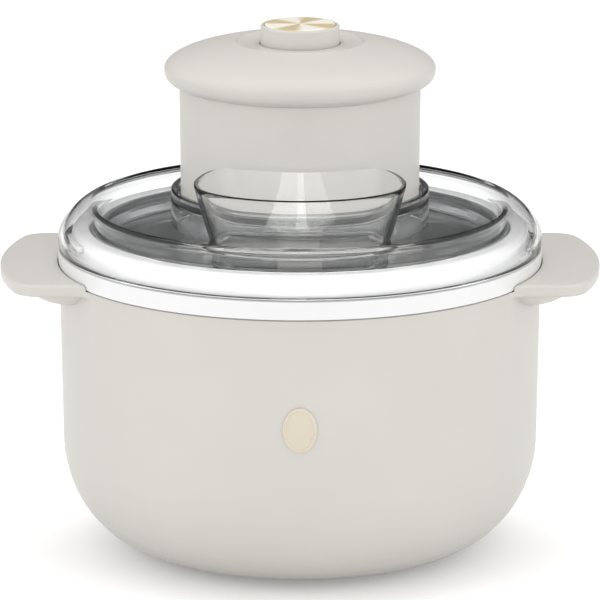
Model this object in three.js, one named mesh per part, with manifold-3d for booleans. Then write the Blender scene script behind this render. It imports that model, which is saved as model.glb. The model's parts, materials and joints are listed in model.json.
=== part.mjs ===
// Ice cream maker: a pot-shaped housing with two ear handles, a lift-out freezer bowl, a clear
// bayonet lid with an ingredient chute, and a motor unit that turns the mixing paddle.
// Millimetres, +Z up, front is -Y. The origin is on the table under the bowl's axis.

import * as THREE from 'three';
import { mergeVertices } from 'three/addons/utils/BufferGeometryUtils.js';
import Module from 'manifold-3d';

const wasm = await Module();
wasm.setup();

// ---- Driving dimensions -------------------------------------------------------------------

const GAP = 0.3;                 // space left between pieces that touch
const BIG = 32;                  // facets round a large circle
const MEDIUM = 20;
const SMALL = 8;

const POT = { rim: 102.2, waist: 101, base: 60, baseZ: 2.5, waistZ: 50, rimZ: 123.1, wall: 2.6 };
const EAR = { outer: 127.2, half: 49.5, corner: 12, top: 125.4, thick: 5.2, edge: 1.2 };
const GUSSET = { outer: 118, footZ: 111.8, half: 44 };
const FOOT = { circle: 48, radius: 8, height: 2.2, stem: 3, stemTop: 7 };
const BADGE = { half: 7.15, halfHeight: 9.65, z: 76.8, thick: 0.65, border: 1.6, step: 0.3 };

const BAND = { radius: 102.6, bottom: 123.4, top: 131.1 };
const NECK = { radius: 96.5, inner: 88.5, top: 140.2, bore: 86.6, boreZ: 130.4 };
const BOWL = { mouth: 84, foot: 77, floor: 28, sheet: 1.2, corner: 12, top: 130 };
const LINER = { foot: 133.4, top: 140, flare: 0.7 };      // metal ring inside the neck
const JACKET = { mouth: 95, foot: 87, floor: 12, wall: 2, corner: 20 };
const PLUG = { x: 30, radius: 4, head: 6 };

const LID = { bottom: 131.7, rise: 136.2, crest: 89, top: 150.2, wall: 2, floor: 138 };
const RECESS = { radius: 84.5, crestZ: 144.8, footZ: 141.5, fillet: 3.5 };
const SHOULDER_POWER = 1.63;     // superellipse exponent of the lid's rounded shoulder
const BAYONET = { count: 2, first: 13, half: 8, turn: 18 };      // degrees
const TAB = { outer: 98.4, bottom: 135.8, top: 137.8 };
const LUG = { inner: 97.4, bottom: 132.4, top: 135.2 };
const SEAL = { inner: 98.7, outer: 100, bottom: 131.4, top: 132.1 };

const SETBACK = 17;              // the motor unit stands this far behind the bowl's axis
const TURRET = { outer: 55, lip: 52.2, top: 153, seat: 150.2, wall: 2.4, hole: 13.2 };
const UNIT = { bottom: 150.5, top: 197.8, low: 50.8, high: 51.3, inner: 48.6 };
const CAP = { radius: 57.7, z: 204.7, rise: 13.04, lip: 53.8, lipZ: 199.1, wall: 2.4 };
const WELL = { radius: 27, z: 215.4, hole: 17.2 };

const BUTTON = { radius: 16.8, top: 223.4, bottom: 206, flange: 19, wall: 2.2, disc: 15.1 };
const SPRING = { radius: 9, thick: 1, bottom: 200, top: 217, turns: 4 };

// The ingredient chute's outline, given at two heights. Each row is a half outline from the
// middle of the back to the middle of the front, as x and y; the other half mirrors it.
const CHUTE_LIP = [
  [0, -40.5], [17, -39.6], [28, -37.8], [34, -42], [38.1, -54], [34.5, -69], [20, -80.2], [0, -84],
];
const CHUTE_RIM = [
  [0, -35.8], [19, -33.2], [32, -28.6], [38.6, -35], [44.2, -58], [39.5, -74], [23, -87.2], [0, -92],
];
const CUP = { skirtZ: 137.5, lipZ: 144.2, floorZ: 146, rimZ: 171, wall: 1.8 };
const CHUTE = { bottom: 131, top: 143.8, inset: 1.8, wall: 2 };

const MODULE = 1;                // gear tooth size
const TEETH = { pinion: 12, wheel: 40, small: 14, output: 42 };
const GEAR = { addendum: 0.9, dedendum: 1.2, backlash: 0.26, angle: THREE.MathUtils.degToRad(20) };
const LOW_STAGE = [155, 160.5];  // heights of the output gear's stage
const HIGH_STAGE = [161.7, 165.7];
const PINION_STAGE = [161.3, 166.4];

const BASE = { radius: 48.2, thick: 3, nose: 12, noseZ: 141, bore: 7.3 };
const POSTS = [[-36, 20], [18, 53], [23, -18]];
const SCREW_TIP = 157;
const SCREW = { head: 3.1, shank: 1.5, thick: 2 };
const PLATE = { radius: 44, bottom: 167, top: 169.2 };
const SHAFT = { radius: 4, top: 168.8, bottom: 119, tang: 3, tangHalf: 6.8, tangTop: 136 };
const BUSH = { radius: 7, z: [143.2, 154.2], sealZ: [141.2, 142.9] };
const CLIP = { radius: 6.3, z: [160.6, 161.5] };
const PIN_RADIUS = 2;
const MOTOR = { y: 24, radius: 25, bottom: 169.6, top: 190, wall: 1.6, end: 193 };
const MAGNET = { inner: 19, bottom: 172, top: 187, half: 62 };
const ROTOR = { shaft: 1.6, bottom: 161, top: 195, core: 17.2, coreZ: [173.5, 184] };
const COMMUTATOR = { radius: 5, z: [184.4, 188.6] };
const GLAND = { z: 161, flange: 8, neck: 6, tail: 4.6, bore: 3, reach: 84 };
const CARRIER = { radius: 44.5, bottom: 196.6, top: 198.6, screwX: 30, screwTip: 207 };
const SWITCH = { side: 11, top: 209, plunger: 2.6, plungerZ: 205 };
const TERMINALS = { width: 24, depth: 9, top: 180, y: -18 };
const LEAD_RADIUS = 0.9;
const SWITCH_LEAD = [
  [4, -18, 181], [4, -14, 187], [4, -6, 194], [4, 6, 195.2], [3.2, 12, 195.6], [3, 15, 198.4],
];
const MOTOR_LEAD = [[-8, -18, 181], [-8, -15, 187], [-8, -6, 194], [-8, 4, 195.2], [-8, 12, 194.4]];

const HUB = { radius: 9.5, top: 138, bore: 7.5, socket: 118.5, dog: 4.4, dogHalf: 40 };
const PADDLE = { reach: 73.5, top: 117, bottom: 34, bar: 7, rib: 5, thick: 5 };

// ---- Colours ------------------------------------------------------------------------------

const finish = (color, roughness, metalness = 0) => ({ color, roughness, metalness });
const BEIGE = finish(0xdad6ce, 0.45);
const WHITE = finish(0xf3f2ef, 0.25);
const CLEAR = { ...finish(0xdfe3e4, 0.1), transparent: true, opacity: 0.35 };
const GOLD = finish(0xe6d9ac, 0.25, 0.9);
const RUBBER = finish(0x2b2b2b, 0.9);
const SILICONE = finish(0xd8d8d4, 0.7);
const ALUMINIUM = finish(0xb9bcbf, 0.35, 0.9);
const STEEL = finish(0xa8abae, 0.35, 0.9);
const BRASS = finish(0xb08d4a, 0.4, 0.9);
const NYLON = finish(0xe9e6da, 0.5);
const BLACK = finish(0x26272a, 0.5);
const GEL = finish(0x9fc3d6, 0.6);

// ---- Geometry helpers ---------------------------------------------------------------------

const v2 = (x, y) => new THREE.Vector2(x, y);
const radians = THREE.MathUtils.degToRad;

// Points along an ellipse's arc, angles in degrees, as [r, z] pairs.
function arc(cx, cy, rx, ry, from, to, steps) {
  return Array.from({ length: steps + 1 }, (_, i) => {
    const a = radians(from + (to - from) * i / steps);
    return [cx + rx * Math.cos(a), cy + ry * Math.sin(a)];
  });
}

// A solid of revolution about Z from [r, z] points in anticlockwise order. The outline is
// closed here, through the axis or back to its first point.
function lathe(outline, facets = BIG) {
  const points = [...outline, outline[0]].map(([r, z]) => v2(r, z));
  return new THREE.LatheGeometry(points, facets).rotateX(Math.PI / 2);
}

const disc = (radius, low, high, facets = MEDIUM) =>
  lathe([[0, low], [radius, low], [radius, high], [0, high]], facets);

const tube = (inner, outer, low, high, facets = MEDIUM) =>
  lathe([[inner, low], [outer, low], [outer, high], [inner, high]], facets);

const at = (geometry, x, y, z = 0) => geometry.translate(x, y, z);

function box(width, depth, low, high, x = 0, y = 0) {
  return at(new THREE.BoxGeometry(width, depth, high - low), x, y, (low + high) / 2);
}

const prism = (shape, low, high, options = {}) =>
  at(new THREE.ExtrudeGeometry(shape, { depth: high - low, bevelEnabled: false, ...options }), 0, 0, low);

// A slice of a ring, as wide as twice half (degrees) about the direction centre.
function sector(inner, outer, low, high, centre, half, steps = 4) {
  const shape = new THREE.Shape();
  shape.absarc(0, 0, outer, radians(centre - half), radians(centre + half), false);
  shape.absarc(0, 0, inner, radians(centre + half), radians(centre - half), true);
  return prism(shape, low, high, { curveSegments: steps });
}

// A closed skin over a list of loops with equal point counts, capped at its first and last
// loop by a fan of triangles about the loop's middle.
function skin(loops) {
  const count = loops[0].length;
  const middle = (loop) => [...loop].reduce((sum, p) => sum.add(p), new THREE.Vector3()).divideScalar(count);
  const points = [...loops.flat(), middle(loops[0]), middle(loops.at(-1))];
  const index = [];
  for (let row = 0; row + 1 < loops.length; row += 1) {
    for (let i = 0; i < count; i += 1) {
      const a = row * count + i;
      const b = row * count + (i + 1) % count;
      index.push(a, b, b + count, a, b + count, a + count);
    }
  }
  const last = (loops.length - 1) * count;
  for (let i = 0; i < count; i += 1) {
    const next = (i + 1) % count;
    index.push(points.length - 2, next, i, points.length - 1, last + i, last + next);
  }
  const geometry = new THREE.BufferGeometry().setFromPoints(points);
  return geometry.setIndex(index);
}

// ---- Boolean work -------------------------------------------------------------------------

function solid(geometry) {
  const plain = geometry.clone();
  plain.deleteAttribute('normal');
  plain.deleteAttribute('uv');
  const merged = mergeVertices(plain, 1e-4);
  const corners = merged.index.array;
  const kept = [];
  for (let i = 0; i < corners.length; i += 3) {
    const [a, b, c] = corners.slice(i, i + 3);
    if (a !== b && b !== c && c !== a) kept.push(a, b, c);
  }
  const vertProperties = new Float32Array(merged.attributes.position.array);
  return new wasm.Manifold(new wasm.Mesh({ numProp: 3, vertProperties, triVerts: new Uint32Array(kept) }));
}

function geometryOf(manifold) {
  const { vertProperties, triVerts } = manifold.getMesh();
  const geometry = new THREE.BufferGeometry();
  geometry.setAttribute('position', new THREE.BufferAttribute(vertProperties, 3));
  geometry.setIndex(new THREE.BufferAttribute(triVerts, 1));
  return geometry;
}

const join = (...pieces) => geometryOf(pieces.map(solid).reduce((sum, piece) => sum.add(piece)));

const cut = (piece, ...tools) =>
  geometryOf(tools.map(solid).reduce((rest, tool) => rest.subtract(tool), solid(piece)));

const common = (a, b) => geometryOf(solid(a).intersect(solid(b)));

// ---- Housing ------------------------------------------------------------------------------

// The pot's outer side at a given inset, from the base's edge up to the rim.
function potSide(inset, steps) {
  const { rim, waist, base, baseZ, waistZ, rimZ } = POT;
  const corner = arc(base, waistZ, waist - base - inset, waistZ - baseZ - inset, -90, 0, steps);
  return [...corner, [rim - inset, rimZ]];
}

function earOutline() {
  const { outer, half, corner } = EAR;
  const root = POT.rim - POT.wall / 2;
  const centre = Math.sqrt((outer - corner) ** 2 - (half - corner) ** 2);
  const meet = Math.atan2(half - corner, centre);
  const inner = Math.asin(half / root);
  const shape = new THREE.Shape();
  shape.absarc(0, 0, root, -inner, inner, false);
  shape.absarc(centre, half - corner, corner, Math.PI / 2, meet, true);
  shape.absarc(0, 0, outer, meet, -meet, true);
  shape.absarc(centre, corner - half, corner, -meet, -Math.PI / 2, true);
  return shape;
}

// One ear on the +X side, with the curved gusset that carries it from below.
function ear() {
  const { top, thick, edge } = EAR;
  const bottom = top - thick;
  const bevel = {
    bevelEnabled: true,
    bevelThickness: edge,
    bevelSize: edge,
    bevelOffset: -edge,
    bevelSegments: 1,
    curveSegments: 6,
  };
  const plate = prism(earOutline(), bottom + edge, top - edge, bevel);
  const clearance = disc(BAND.radius + 0.4, POT.rimZ - 0.1, top + 5, BIG);
  const inner = POT.rim - POT.wall / 2;
  const { outer, footZ, half } = GUSSET;
  const underside = arc(inner, bottom + 0.6, outer - inner, bottom + 0.6 - footZ, -90, 0, 4);
  const web = lathe([...underside, [inner, bottom + 0.6]]);
  const reach = box(outer, half * 2, footZ - 10, top, outer / 2 + POT.waist / 2, 0);
  return join(cut(plate, clearance), common(web, reach));
}

function outerHousing() {
  const inside = potSide(POT.wall, 4).reverse();
  const wall = lathe([[0, POT.baseZ], ...potSide(0, 6), ...inside, [0, POT.baseZ + POT.wall]]);
  const right = ear();
  const left = ear().rotateZ(Math.PI);
  const holes = footPlaces().map(([x, y]) => at(disc(FOOT.stem + GAP, 0, 9, SMALL), x, y));
  return cut(join(wall, right, left), ...holes);
}

function footPlaces() {
  return [225, 315, 45, 135].map((angle) => {
    const a = radians(angle);
    return [FOOT.circle * Math.cos(a), FOOT.circle * Math.sin(a)];
  });
}

function foot() {
  const { radius, height, stem, stemTop } = FOOT;
  const pad = [[0, 0], [radius - 0.8, 0], [radius, 0.8], [radius, height]];
  return lathe([...pad, [stem, height], [stem, stemTop], [0, stemTop]], SMALL);
}

// An oval badge with a raised border, curved to sit on the pot's front.
function frontBadge() {
  const { half, halfHeight, z, thick, border, step } = BADGE;
  const slope = (POT.rim - POT.waist) / (POT.rimZ - POT.waistZ);
  const potAt = (height) => POT.waist + slope * (height - POT.waistZ);
  const shell = (out) => {
    const low = z - halfHeight - 1;
    const high = z + halfHeight + 1;
    const outside = [[potAt(low) + out, low], [potAt(high) + out, high]];
    return lathe([[potAt(low) + GAP, low], ...outside, [potAt(high) + GAP, high]], BIG * 2);
  };
  const oval = (inset) => {
    const shape = new THREE.Shape().absellipse(0, z, half - inset, halfHeight - inset, 0, Math.PI * 2);
    return prism(shape, 0, POT.rim + 10, { curveSegments: 12 }).rotateX(Math.PI / 2);
  };
  const field = common(shell(thick), oval(border / 2));
  const rim = cut(common(shell(thick + step), oval(0)), oval(border));
  return join(field, rim);
}

// ---- Freezer bowl -------------------------------------------------------------------------

// A cup's half section from the axis out along the floor and up its wall.
function cupSide({ foot, mouth, floor, corner }, inset, top, steps) {
  const bottom = floor + inset;
  const turn = arc(foot - corner, bottom + corner - inset, corner - inset, corner - inset, -90, -4, steps);
  return [[0, bottom], ...turn, [mouth - inset, top]];
}

function bowlInnerWall() {
  const sheet = { ...BOWL, foot: BOWL.foot + BOWL.sheet, mouth: BOWL.mouth + BOWL.sheet };
  return lathe([...cupSide(sheet, 0, BOWL.top, 3), ...cupSide(sheet, BOWL.sheet, BOWL.top, 3).reverse()]);
}

// The flared metal ring that lines the neck above the inner wall.
function neckLiner() {
  const { inner, bore, boreZ } = NECK;
  const outside = inner - GAP;
  const inside = outside - BOWL.sheet;
  return lathe([
    [BOWL.mouth, boreZ], [bore - GAP, boreZ], [outside, LINER.foot], [outside, LINER.top],
    [inside, LINER.top], [inside, LINER.foot], [bore - BOWL.sheet, boreZ + LINER.flare],
  ]);
}

function bowlOuterWall() {
  const top = BOWL.top - 6;
  const wall = lathe([...cupSide(JACKET, 0, top, 3), ...cupSide(JACKET, JACKET.wall, top, 3).reverse()]);
  return cut(wall, at(disc(PLUG.radius + GAP, JACKET.floor - 1, JACKET.floor + 4, SMALL), PLUG.x, 0));
}

// The frozen gel between the two walls.
function coolantFill() {
  const outside = cupSide({ ...JACKET, mouth: JACKET.mouth - 1 }, JACKET.wall + GAP, BOWL.top - 12, 3);
  const sheet = { ...BOWL, foot: BOWL.foot + BOWL.sheet, mouth: BOWL.mouth + BOWL.sheet };
  const inside = cupSide(sheet, -GAP, BOWL.top - 12, 3).reverse();
  return lathe([...outside, ...inside]);
}

function coolantPlug() {
  const { radius, head } = PLUG;
  const { floor, wall } = JACKET;
  const cap = [[0, floor - 2], [head, floor - 2], [head, floor - GAP]];
  const shank = [[radius, floor - GAP], [radius, floor + wall], [0, floor + wall]];
  return at(lathe([...cap, ...shank], SMALL), PLUG.x, 0);
}

// The white rim: the band that shows above the pot, a neck with the bayonet tabs, a rounded
// mouth, and a groove underneath that holds the two walls.
function bowlRimRing() {
  const { radius, bottom, top } = BAND;
  const neck = NECK.radius;
  const band = [
    [98.8, 117], [98.8, bottom], [radius - 0.6, bottom], [radius, bottom + 0.6],
    [radius, top - 0.6], [radius - 0.6, top], [neck, top],
  ];
  const mouth = [
    ...arc(neck - 3, NECK.top - 3, 3, 3, 0, 90, 2), [NECK.inner + 1, NECK.top], [NECK.inner, NECK.top - 1],
    [NECK.inner, NECK.boreZ + 3], [NECK.bore, NECK.boreZ],
  ];
  const groove = [[92, NECK.boreZ], [92, 125], [96, 125], [96, 117]];
  const tabs = bayonetAngles(0).map((angle) =>
    sector(neck - 1, TAB.outer, TAB.bottom, TAB.top, angle, BAYONET.half));
  return join(lathe([...band, ...mouth, ...groove]), ...tabs);
}

const bayonetAngles = (offset) =>
  Array.from({ length: BAYONET.count }, (_, i) => BAYONET.first + offset + i * 360 / BAYONET.count);

const bowlGasket = () => tube(BOWL.mouth + 2.2, 91.6, 126.4, 130.1, BIG);

// ---- Mixing paddle ------------------------------------------------------------------------

// One wing on the +X side: a frame with two windows, drawn in X and Z.
function wing() {
  const { reach, top, bottom, bar, rib, thick } = PADDLE;
  const shape = new THREE.Shape();
  shape.moveTo(0, bottom);
  shape.lineTo(reach - 14, bottom);
  shape.quadraticCurveTo(reach - 2, bottom, reach - 1.5, bottom + 14);
  shape.lineTo(reach, top - 16);
  shape.quadraticCurveTo(reach, top, reach - 16, top);
  shape.lineTo(0, top);
  shape.closePath();
  const middle = (top + bottom) / 2;
  const window = (low, high) => new THREE.Path([
    v2(12, low), v2(reach - bar - 4, low), v2(reach - bar, low + 4), v2(reach - bar, high - 4),
    v2(reach - bar - 4, high), v2(12, high),
  ]);
  shape.holes.push(window(bottom + bar, middle - rib / 2), window(middle + rib / 2, top - bar));
  return at(prism(shape, 0, thick, { curveSegments: 6 }).rotateX(Math.PI / 2), 0, thick / 2);
}

// The hub carries the wings, stands on a short pin, and has an open socket on top. Two dogs in
// the socket leave the drive tang more free play than the lid's bayonet turn.
function mixingPaddle() {
  const { radius, top, bore, socket, dog, dogHalf } = HUB;
  const pin = BOWL.floor + BOWL.sheet + 0.4;
  const hub = lathe([
    [0, pin], [3, pin], [3, PADDLE.bottom - 1], [6, PADDLE.bottom], [7, socket - 14], [radius, socket - 2],
    [radius, top], [bore, top], [bore, socket], [0, socket],
  ], 24);
  const wings = join(wing(), wing().rotateZ(Math.PI));
  const dogs = [90, 270].map((angle) => sector(dog, bore + 1, socket - 1, top - 5, angle, dogHalf));
  return join(cut(wings, disc(bore, socket, top)), hub, ...dogs);
}

// ---- Lid ----------------------------------------------------------------------------------

// The lid's shoulder as a superellipse quarter, from the skirt in to the crest.
function shoulder(inset, steps) {
  const across = BAND.radius - LID.crest - inset;
  const rise = LID.top - LID.rise - inset;
  return Array.from({ length: steps + 1 }, (_, i) => {
    const a = Math.PI / 2 * i / steps;
    const r = LID.crest + across * Math.cos(a) ** (2 / SHOULDER_POWER);
    return [r, LID.rise + rise * Math.sin(a) ** (2 / SHOULDER_POWER)];
  });
}

// A rounded shoulder that rolls over its crest into a flat recess, in one even wall.
function lidShell() {
  const { wall, bottom, floor, crest, top } = LID;
  const { radius, crestZ, footZ, fillet } = RECESS;
  const foot = (out, steps) => arc(radius - fillet, footZ, fillet + out, fillet + out, -90, 0, steps);
  const crown = (inset, steps) =>
    arc(crest, crestZ, crest - radius - inset, top - crestZ - inset, 180, 90, steps);
  const inside = [...foot(wall, 2), ...crown(wall, 2), ...shoulder(wall, 4).reverse().slice(1)];
  const skirt = [[BAND.radius - wall, bottom], [BAND.radius, bottom]];
  const outside = [...shoulder(0, 6).slice(0, -1), ...crown(0, 3).reverse(), ...foot(0, 2).reverse()];
  return lathe([[0, floor - wall], ...inside, ...skirt, ...outside, [0, floor]]);
}

// The raised seat for the motor unit, with a lip round its edge.
function turret() {
  const { outer, lip, top, seat } = TURRET;
  const side = [[outer, LID.floor - 1], [outer, top - 0.5], [outer - 0.5, top]];
  return at(lathe([[0, LID.floor - 1], ...side, [lip, top], [lip, seat], [0, seat]]), 0, SETBACK);
}

// A closed loop of points at height z through a half outline and its mirror image, moved
// inwards by inset.
function outline(half, z, inset, count = 32) {
  const right = half.map(([x, y]) => new THREE.Vector3(x, y, z));
  const left = half.slice(1, -1).map(([x, y]) => new THREE.Vector3(-x, y, z)).reverse();
  const curve = new THREE.CatmullRomCurve3([...right, ...left], true, 'centripetal');
  const loop = curve.getPoints(count).slice(0, count).reverse();
  return loop.map((p, i) => {
    const along = loop[(i + 1) % count].clone().sub(loop[(i + count - 1) % count]).normalize();
    return new THREE.Vector3(p.x - along.y * inset, p.y + along.x * inset, z);
  });
}

const flat = (loop) => new THREE.Shape(loop.map((p) => v2(p.x, p.y)));

function lidCover() {
  const { bottom, top, inset, wall } = CHUTE;
  const outer = prism(flat(outline(CHUTE_LIP, 0, inset)), bottom, top);
  const passage = prism(flat(outline(CHUTE_LIP, 0, inset + wall)), bottom - 5, top + 5);
  const roof = TURRET.seat - TURRET.wall;
  const hollow = at(disc(TURRET.outer - TURRET.wall, LID.floor - 10, roof, BIG), 0, SETBACK);
  const shaftHole = disc(TURRET.hole, LID.floor, TURRET.top);
  const lugs = bayonetAngles(-BAYONET.turn).map((angle) =>
    sector(LUG.inner, BAND.radius - 1, LUG.bottom, LUG.top, angle, BAYONET.half));
  return cut(join(cut(join(lidShell(), turret()), hollow), outer, ...lugs), passage, shaftHole);
}

const lidSealRing = () => tube(SEAL.inner, SEAL.outer, SEAL.bottom, SEAL.top, BIG);

// A flared cup that closes the chute: a short skirt that plugs in, a lip that rests on the
// chute, a floor, and a flared wall.
function chuteCup() {
  const { skirtZ, lipZ, floorZ, rimZ, wall } = CUP;
  const plug = CHUTE.inset + CHUTE.wall + 0.5;
  const flare = (t, inset) => {
    const [from, to] = [CHUTE_LIP, CHUTE_RIM];
    const half = from.map(([x, y], i) => [x + (to[i][0] - x) * t, y + (to[i][1] - y) * t]);
    return outline(half, floorZ + (rimZ - floorZ) * t, inset);
  };
  const lip = (z, inset) => outline(CHUTE_LIP, z, inset);
  const skirt = [lip(lipZ, plug + wall), lip(skirtZ, plug + wall), lip(skirtZ, plug), lip(lipZ, plug)];
  const outside = [lip(lipZ, 0), lip(floorZ - 0.4, 0), flare(0, 0.8), flare(0.5, 0.3), flare(1, 0)];
  const inside = [flare(1, wall), flare(0.5, 0.3 + wall), flare(0, 0.8 + wall)];
  return skin([...skirt, ...outside, ...inside]);
}

// ---- Motor unit ---------------------------------------------------------------------------

function motorHousing() {
  const { bottom, top, low, high, inner } = UNIT;
  const outside = [[low - 0.6, bottom], [low, bottom + 0.6], [high, top]];
  const wall = lathe([[inner, bottom], ...outside, [inner, top]], BIG);
  const hole = disc(GLAND.neck + GAP, 0, 20, SMALL).rotateX(-Math.PI / 2);
  return cut(wall, at(hole, 0, UNIT.inner - 10, GLAND.z));
}

function motorCap() {
  const { radius, z, rise, lip, lipZ, wall } = CAP;
  const dome = (inset, from, to, steps) => Array.from({ length: steps + 1 }, (_, i) => {
    const a = Math.acos(from / radius) + (Math.acos(to / radius) - Math.acos(from / radius)) * i / steps;
    return [(radius - inset) * Math.cos(a), z + (rise - inset) * Math.sin(a)];
  });
  const spigot = UNIT.inner - 0.4;
  const shell = lathe([
    [WELL.hole, WELL.z - 3], ...dome(wall, 19, 57, 3), [radius - wall - 1, z - 2], [spigot - 2, 201],
    [spigot - 2, 192], [spigot, 192], [spigot, lipZ - 0.9], [lip - 1, lipZ - 0.9],
    ...arc(lip, z, radius - lip, z - lipZ, -90, 0, 2),
    ...dome(0, radius, WELL.radius + 0.2, 4), [WELL.radius - 0.6, WELL.z], [WELL.hole, WELL.z],
  ], BIG);
  const boss = tube(1.8, 4, CARRIER.top + GAP, BUTTON.top - 8.8, SMALL);
  const bosses = [-1, 1].map((side) => at(boss.clone(), side * CARRIER.screwX, 0));
  return join(shell, ...bosses);
}

// The floor of the motor unit: a nose that reaches through the lid round the output shaft, and
// three posts that carry the gearbox plate.
function gearboxBase() {
  const { radius, thick, nose, noseZ, bore } = BASE;
  const floor = at(disc(radius, UNIT.bottom, UNIT.bottom + thick), 0, SETBACK);
  const spout = disc(nose, noseZ, UNIT.bottom + thick + 0.8, 24);
  const [ix, iy] = idlerPlace();
  const pinBoss = at(disc(4, UNIT.bottom + 1, LOW_STAGE[0] - 1, SMALL), ix, iy);
  const posts = POSTS.map(([x, y]) => at(disc(4, UNIT.bottom + 1, PLATE.bottom - GAP, SMALL), x, y));
  const holes = POSTS.map(([x, y]) => at(disc(1.8, SCREW_TIP - 1, PLATE.top, SMALL), x, y));
  const shaftHole = disc(bore, noseZ - 1, LOW_STAGE[1], 24);
  const pinHole = at(disc(PIN_RADIUS + 0.2, UNIT.bottom + 1.2, LOW_STAGE[1], SMALL), ix, iy);
  return cut(join(floor, spout, pinBoss, ...posts), shaftHole, pinHole, ...holes);
}

function gearboxPlate() {
  const { radius, bottom, top } = PLATE;
  const plate = at(disc(radius, bottom, top), 0, SETBACK);
  const hole = (r, x, y) => at(disc(r, bottom - 5, top + 5, SMALL), x, y);
  const [ix, iy] = idlerPlace();
  const screws = POSTS.map(([x, y]) => hole(1.8, x, y));
  const shaft = disc(SHAFT.radius + GAP, bottom - 5, top + 5);
  return cut(plate, shaft, hole(8, 0, MOTOR.y), hole(PIN_RADIUS + 0.2, ix, iy), ...screws);
}

function screw(headZ, tipZ) {
  const { head, shank, thick } = SCREW;
  const up = headZ > tipZ ? 1 : -1;
  const crown = [[head, headZ], [head, headZ + up * (thick - 0.5)], [head - 0.8, headZ + up * thick]];
  const profile = [[0, tipZ], [shank, tipZ], [shank, headZ], ...crown, [0, headZ + up * thick]];
  return lathe(up > 0 ? profile : profile.toReversed(), 12);
}

function motorCan() {
  const { radius, bottom, top, wall } = MOTOR;
  return lathe([[4, bottom], [radius - 1, bottom], [radius, bottom + 1], [radius, top], [radius - wall, top],
    [radius - wall, bottom + wall], [4, bottom + wall]], MEDIUM);
}

function motorEndCap() {
  const { radius, top, end } = MOTOR;
  return lathe([[ROTOR.shaft + GAP, top + GAP], [radius, top + GAP], [radius, end - 1], [radius - 1, end],
    [ROTOR.shaft + GAP, end]], MEDIUM);
}

function magnet(side) {
  const { inner, bottom, top, half } = MAGNET;
  return sector(inner, MOTOR.radius - MOTOR.wall - GAP, bottom, top, side, half, 8);
}

function cordGland() {
  const { flange, neck, tail, bore, z, reach } = GLAND;
  const wallIn = SETBACK + UNIT.inner;
  const wallOut = SETBACK + UNIT.high;
  const body = lathe([
    [bore, wallIn - 3], [neck + 1.2, wallIn - 3], [neck + 1.2, wallIn - 1.4], [neck - 0.2, wallIn - 1.4],
    [neck - 0.2, wallOut + 1], [flange, wallOut + 1], [flange, wallOut + 3], [tail + 0.8, wallOut + 4],
    [tail, reach], [bore, reach],
  ], SMALL);
  return at(body.rotateX(-Math.PI / 2), 0, 0, z);
}

function switchCarrier() {
  const { radius, bottom, top, screwX } = CARRIER;
  const plate = disc(radius, bottom, top);
  const holes = [-1, 1].map((side) => at(disc(1.8, bottom - 2, top + 2, SMALL), side * screwX, 0));
  return cut(plate, ...holes, at(disc(2.8, bottom - 2, top + 2, SMALL), 3, -2.5));
}

function switchBody() {
  const block = box(SWITCH.side, SWITCH.side, CARRIER.top + GAP, SWITCH.top);
  return cut(block, disc(3, 202, 215, SMALL));
}

// A round wire along a curve.
function wire(extrudePath, radius, steps) {
  const section = new THREE.Shape().absarc(0, 0, radius, 0, Math.PI * 2);
  const options = { steps, extrudePath, curveSegments: 3, bevelEnabled: false };
  return new THREE.ExtrudeGeometry(section, options);
}

function lead(points, radius) {
  const path = new THREE.CatmullRomCurve3(points.map((p) => new THREE.Vector3(...p)), false, 'centripetal');
  return wire(path, radius, 14);
}

// ---- Button -------------------------------------------------------------------------------

function powerButton() {
  const { radius, top, bottom, flange, wall, disc: inlay } = BUTTON;
  const foot = [[radius - wall, bottom], [flange, bottom], [flange, bottom + 1.5], [radius, bottom + 1.5]];
  const edge = [[radius, top - 1], [radius - 0.5, top - 0.2], [radius - 0.9, top]];
  const recess = [[inlay + GAP, top], [inlay + GAP, top - 1.1], [0, top - 1.1]];
  return lathe([...foot, ...edge, ...recess, [0, top - 4], [radius - wall, top - 4]], MEDIUM);
}

function buttonDisc() {
  const { disc: radius, top } = BUTTON;
  const side = [[radius, top - 0.8], [radius, top], [radius - 0.5, top + 0.2]];
  return lathe([[0, top - 0.8], ...side, [0, top + 0.2]], MEDIUM);
}

function buttonSpring() {
  const { radius, thick, bottom, top, turns } = SPRING;
  const perTurn = 10;
  const points = Array.from({ length: turns * perTurn + 1 }, (_, i) => {
    const a = 2 * Math.PI * i / perTurn;
    const z = bottom + thick + (top - bottom - 2 * thick) * i / (turns * perTurn);
    return new THREE.Vector3(radius * Math.cos(a), radius * Math.sin(a), z);
  });
  return wire(new THREE.CatmullRomCurve3(points), thick / 2, turns * perTurn);
}

// ---- Gear train ---------------------------------------------------------------------------

const pitch = (teeth) => MODULE * teeth / 2;
const involute = (angle) => Math.tan(angle) - angle;

// The idler's axis, found from its distances to the output shaft and to the motor's shaft.
function idlerPlace() {
  const toOutput = pitch(TEETH.output) + pitch(TEETH.small);
  const toMotor = pitch(TEETH.wheel) + pitch(TEETH.pinion);
  const y = (toOutput ** 2 - toMotor ** 2 + MOTOR.y ** 2) / (2 * MOTOR.y);
  return [Math.sqrt(toOutput ** 2 - y ** 2), y];
}

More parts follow.
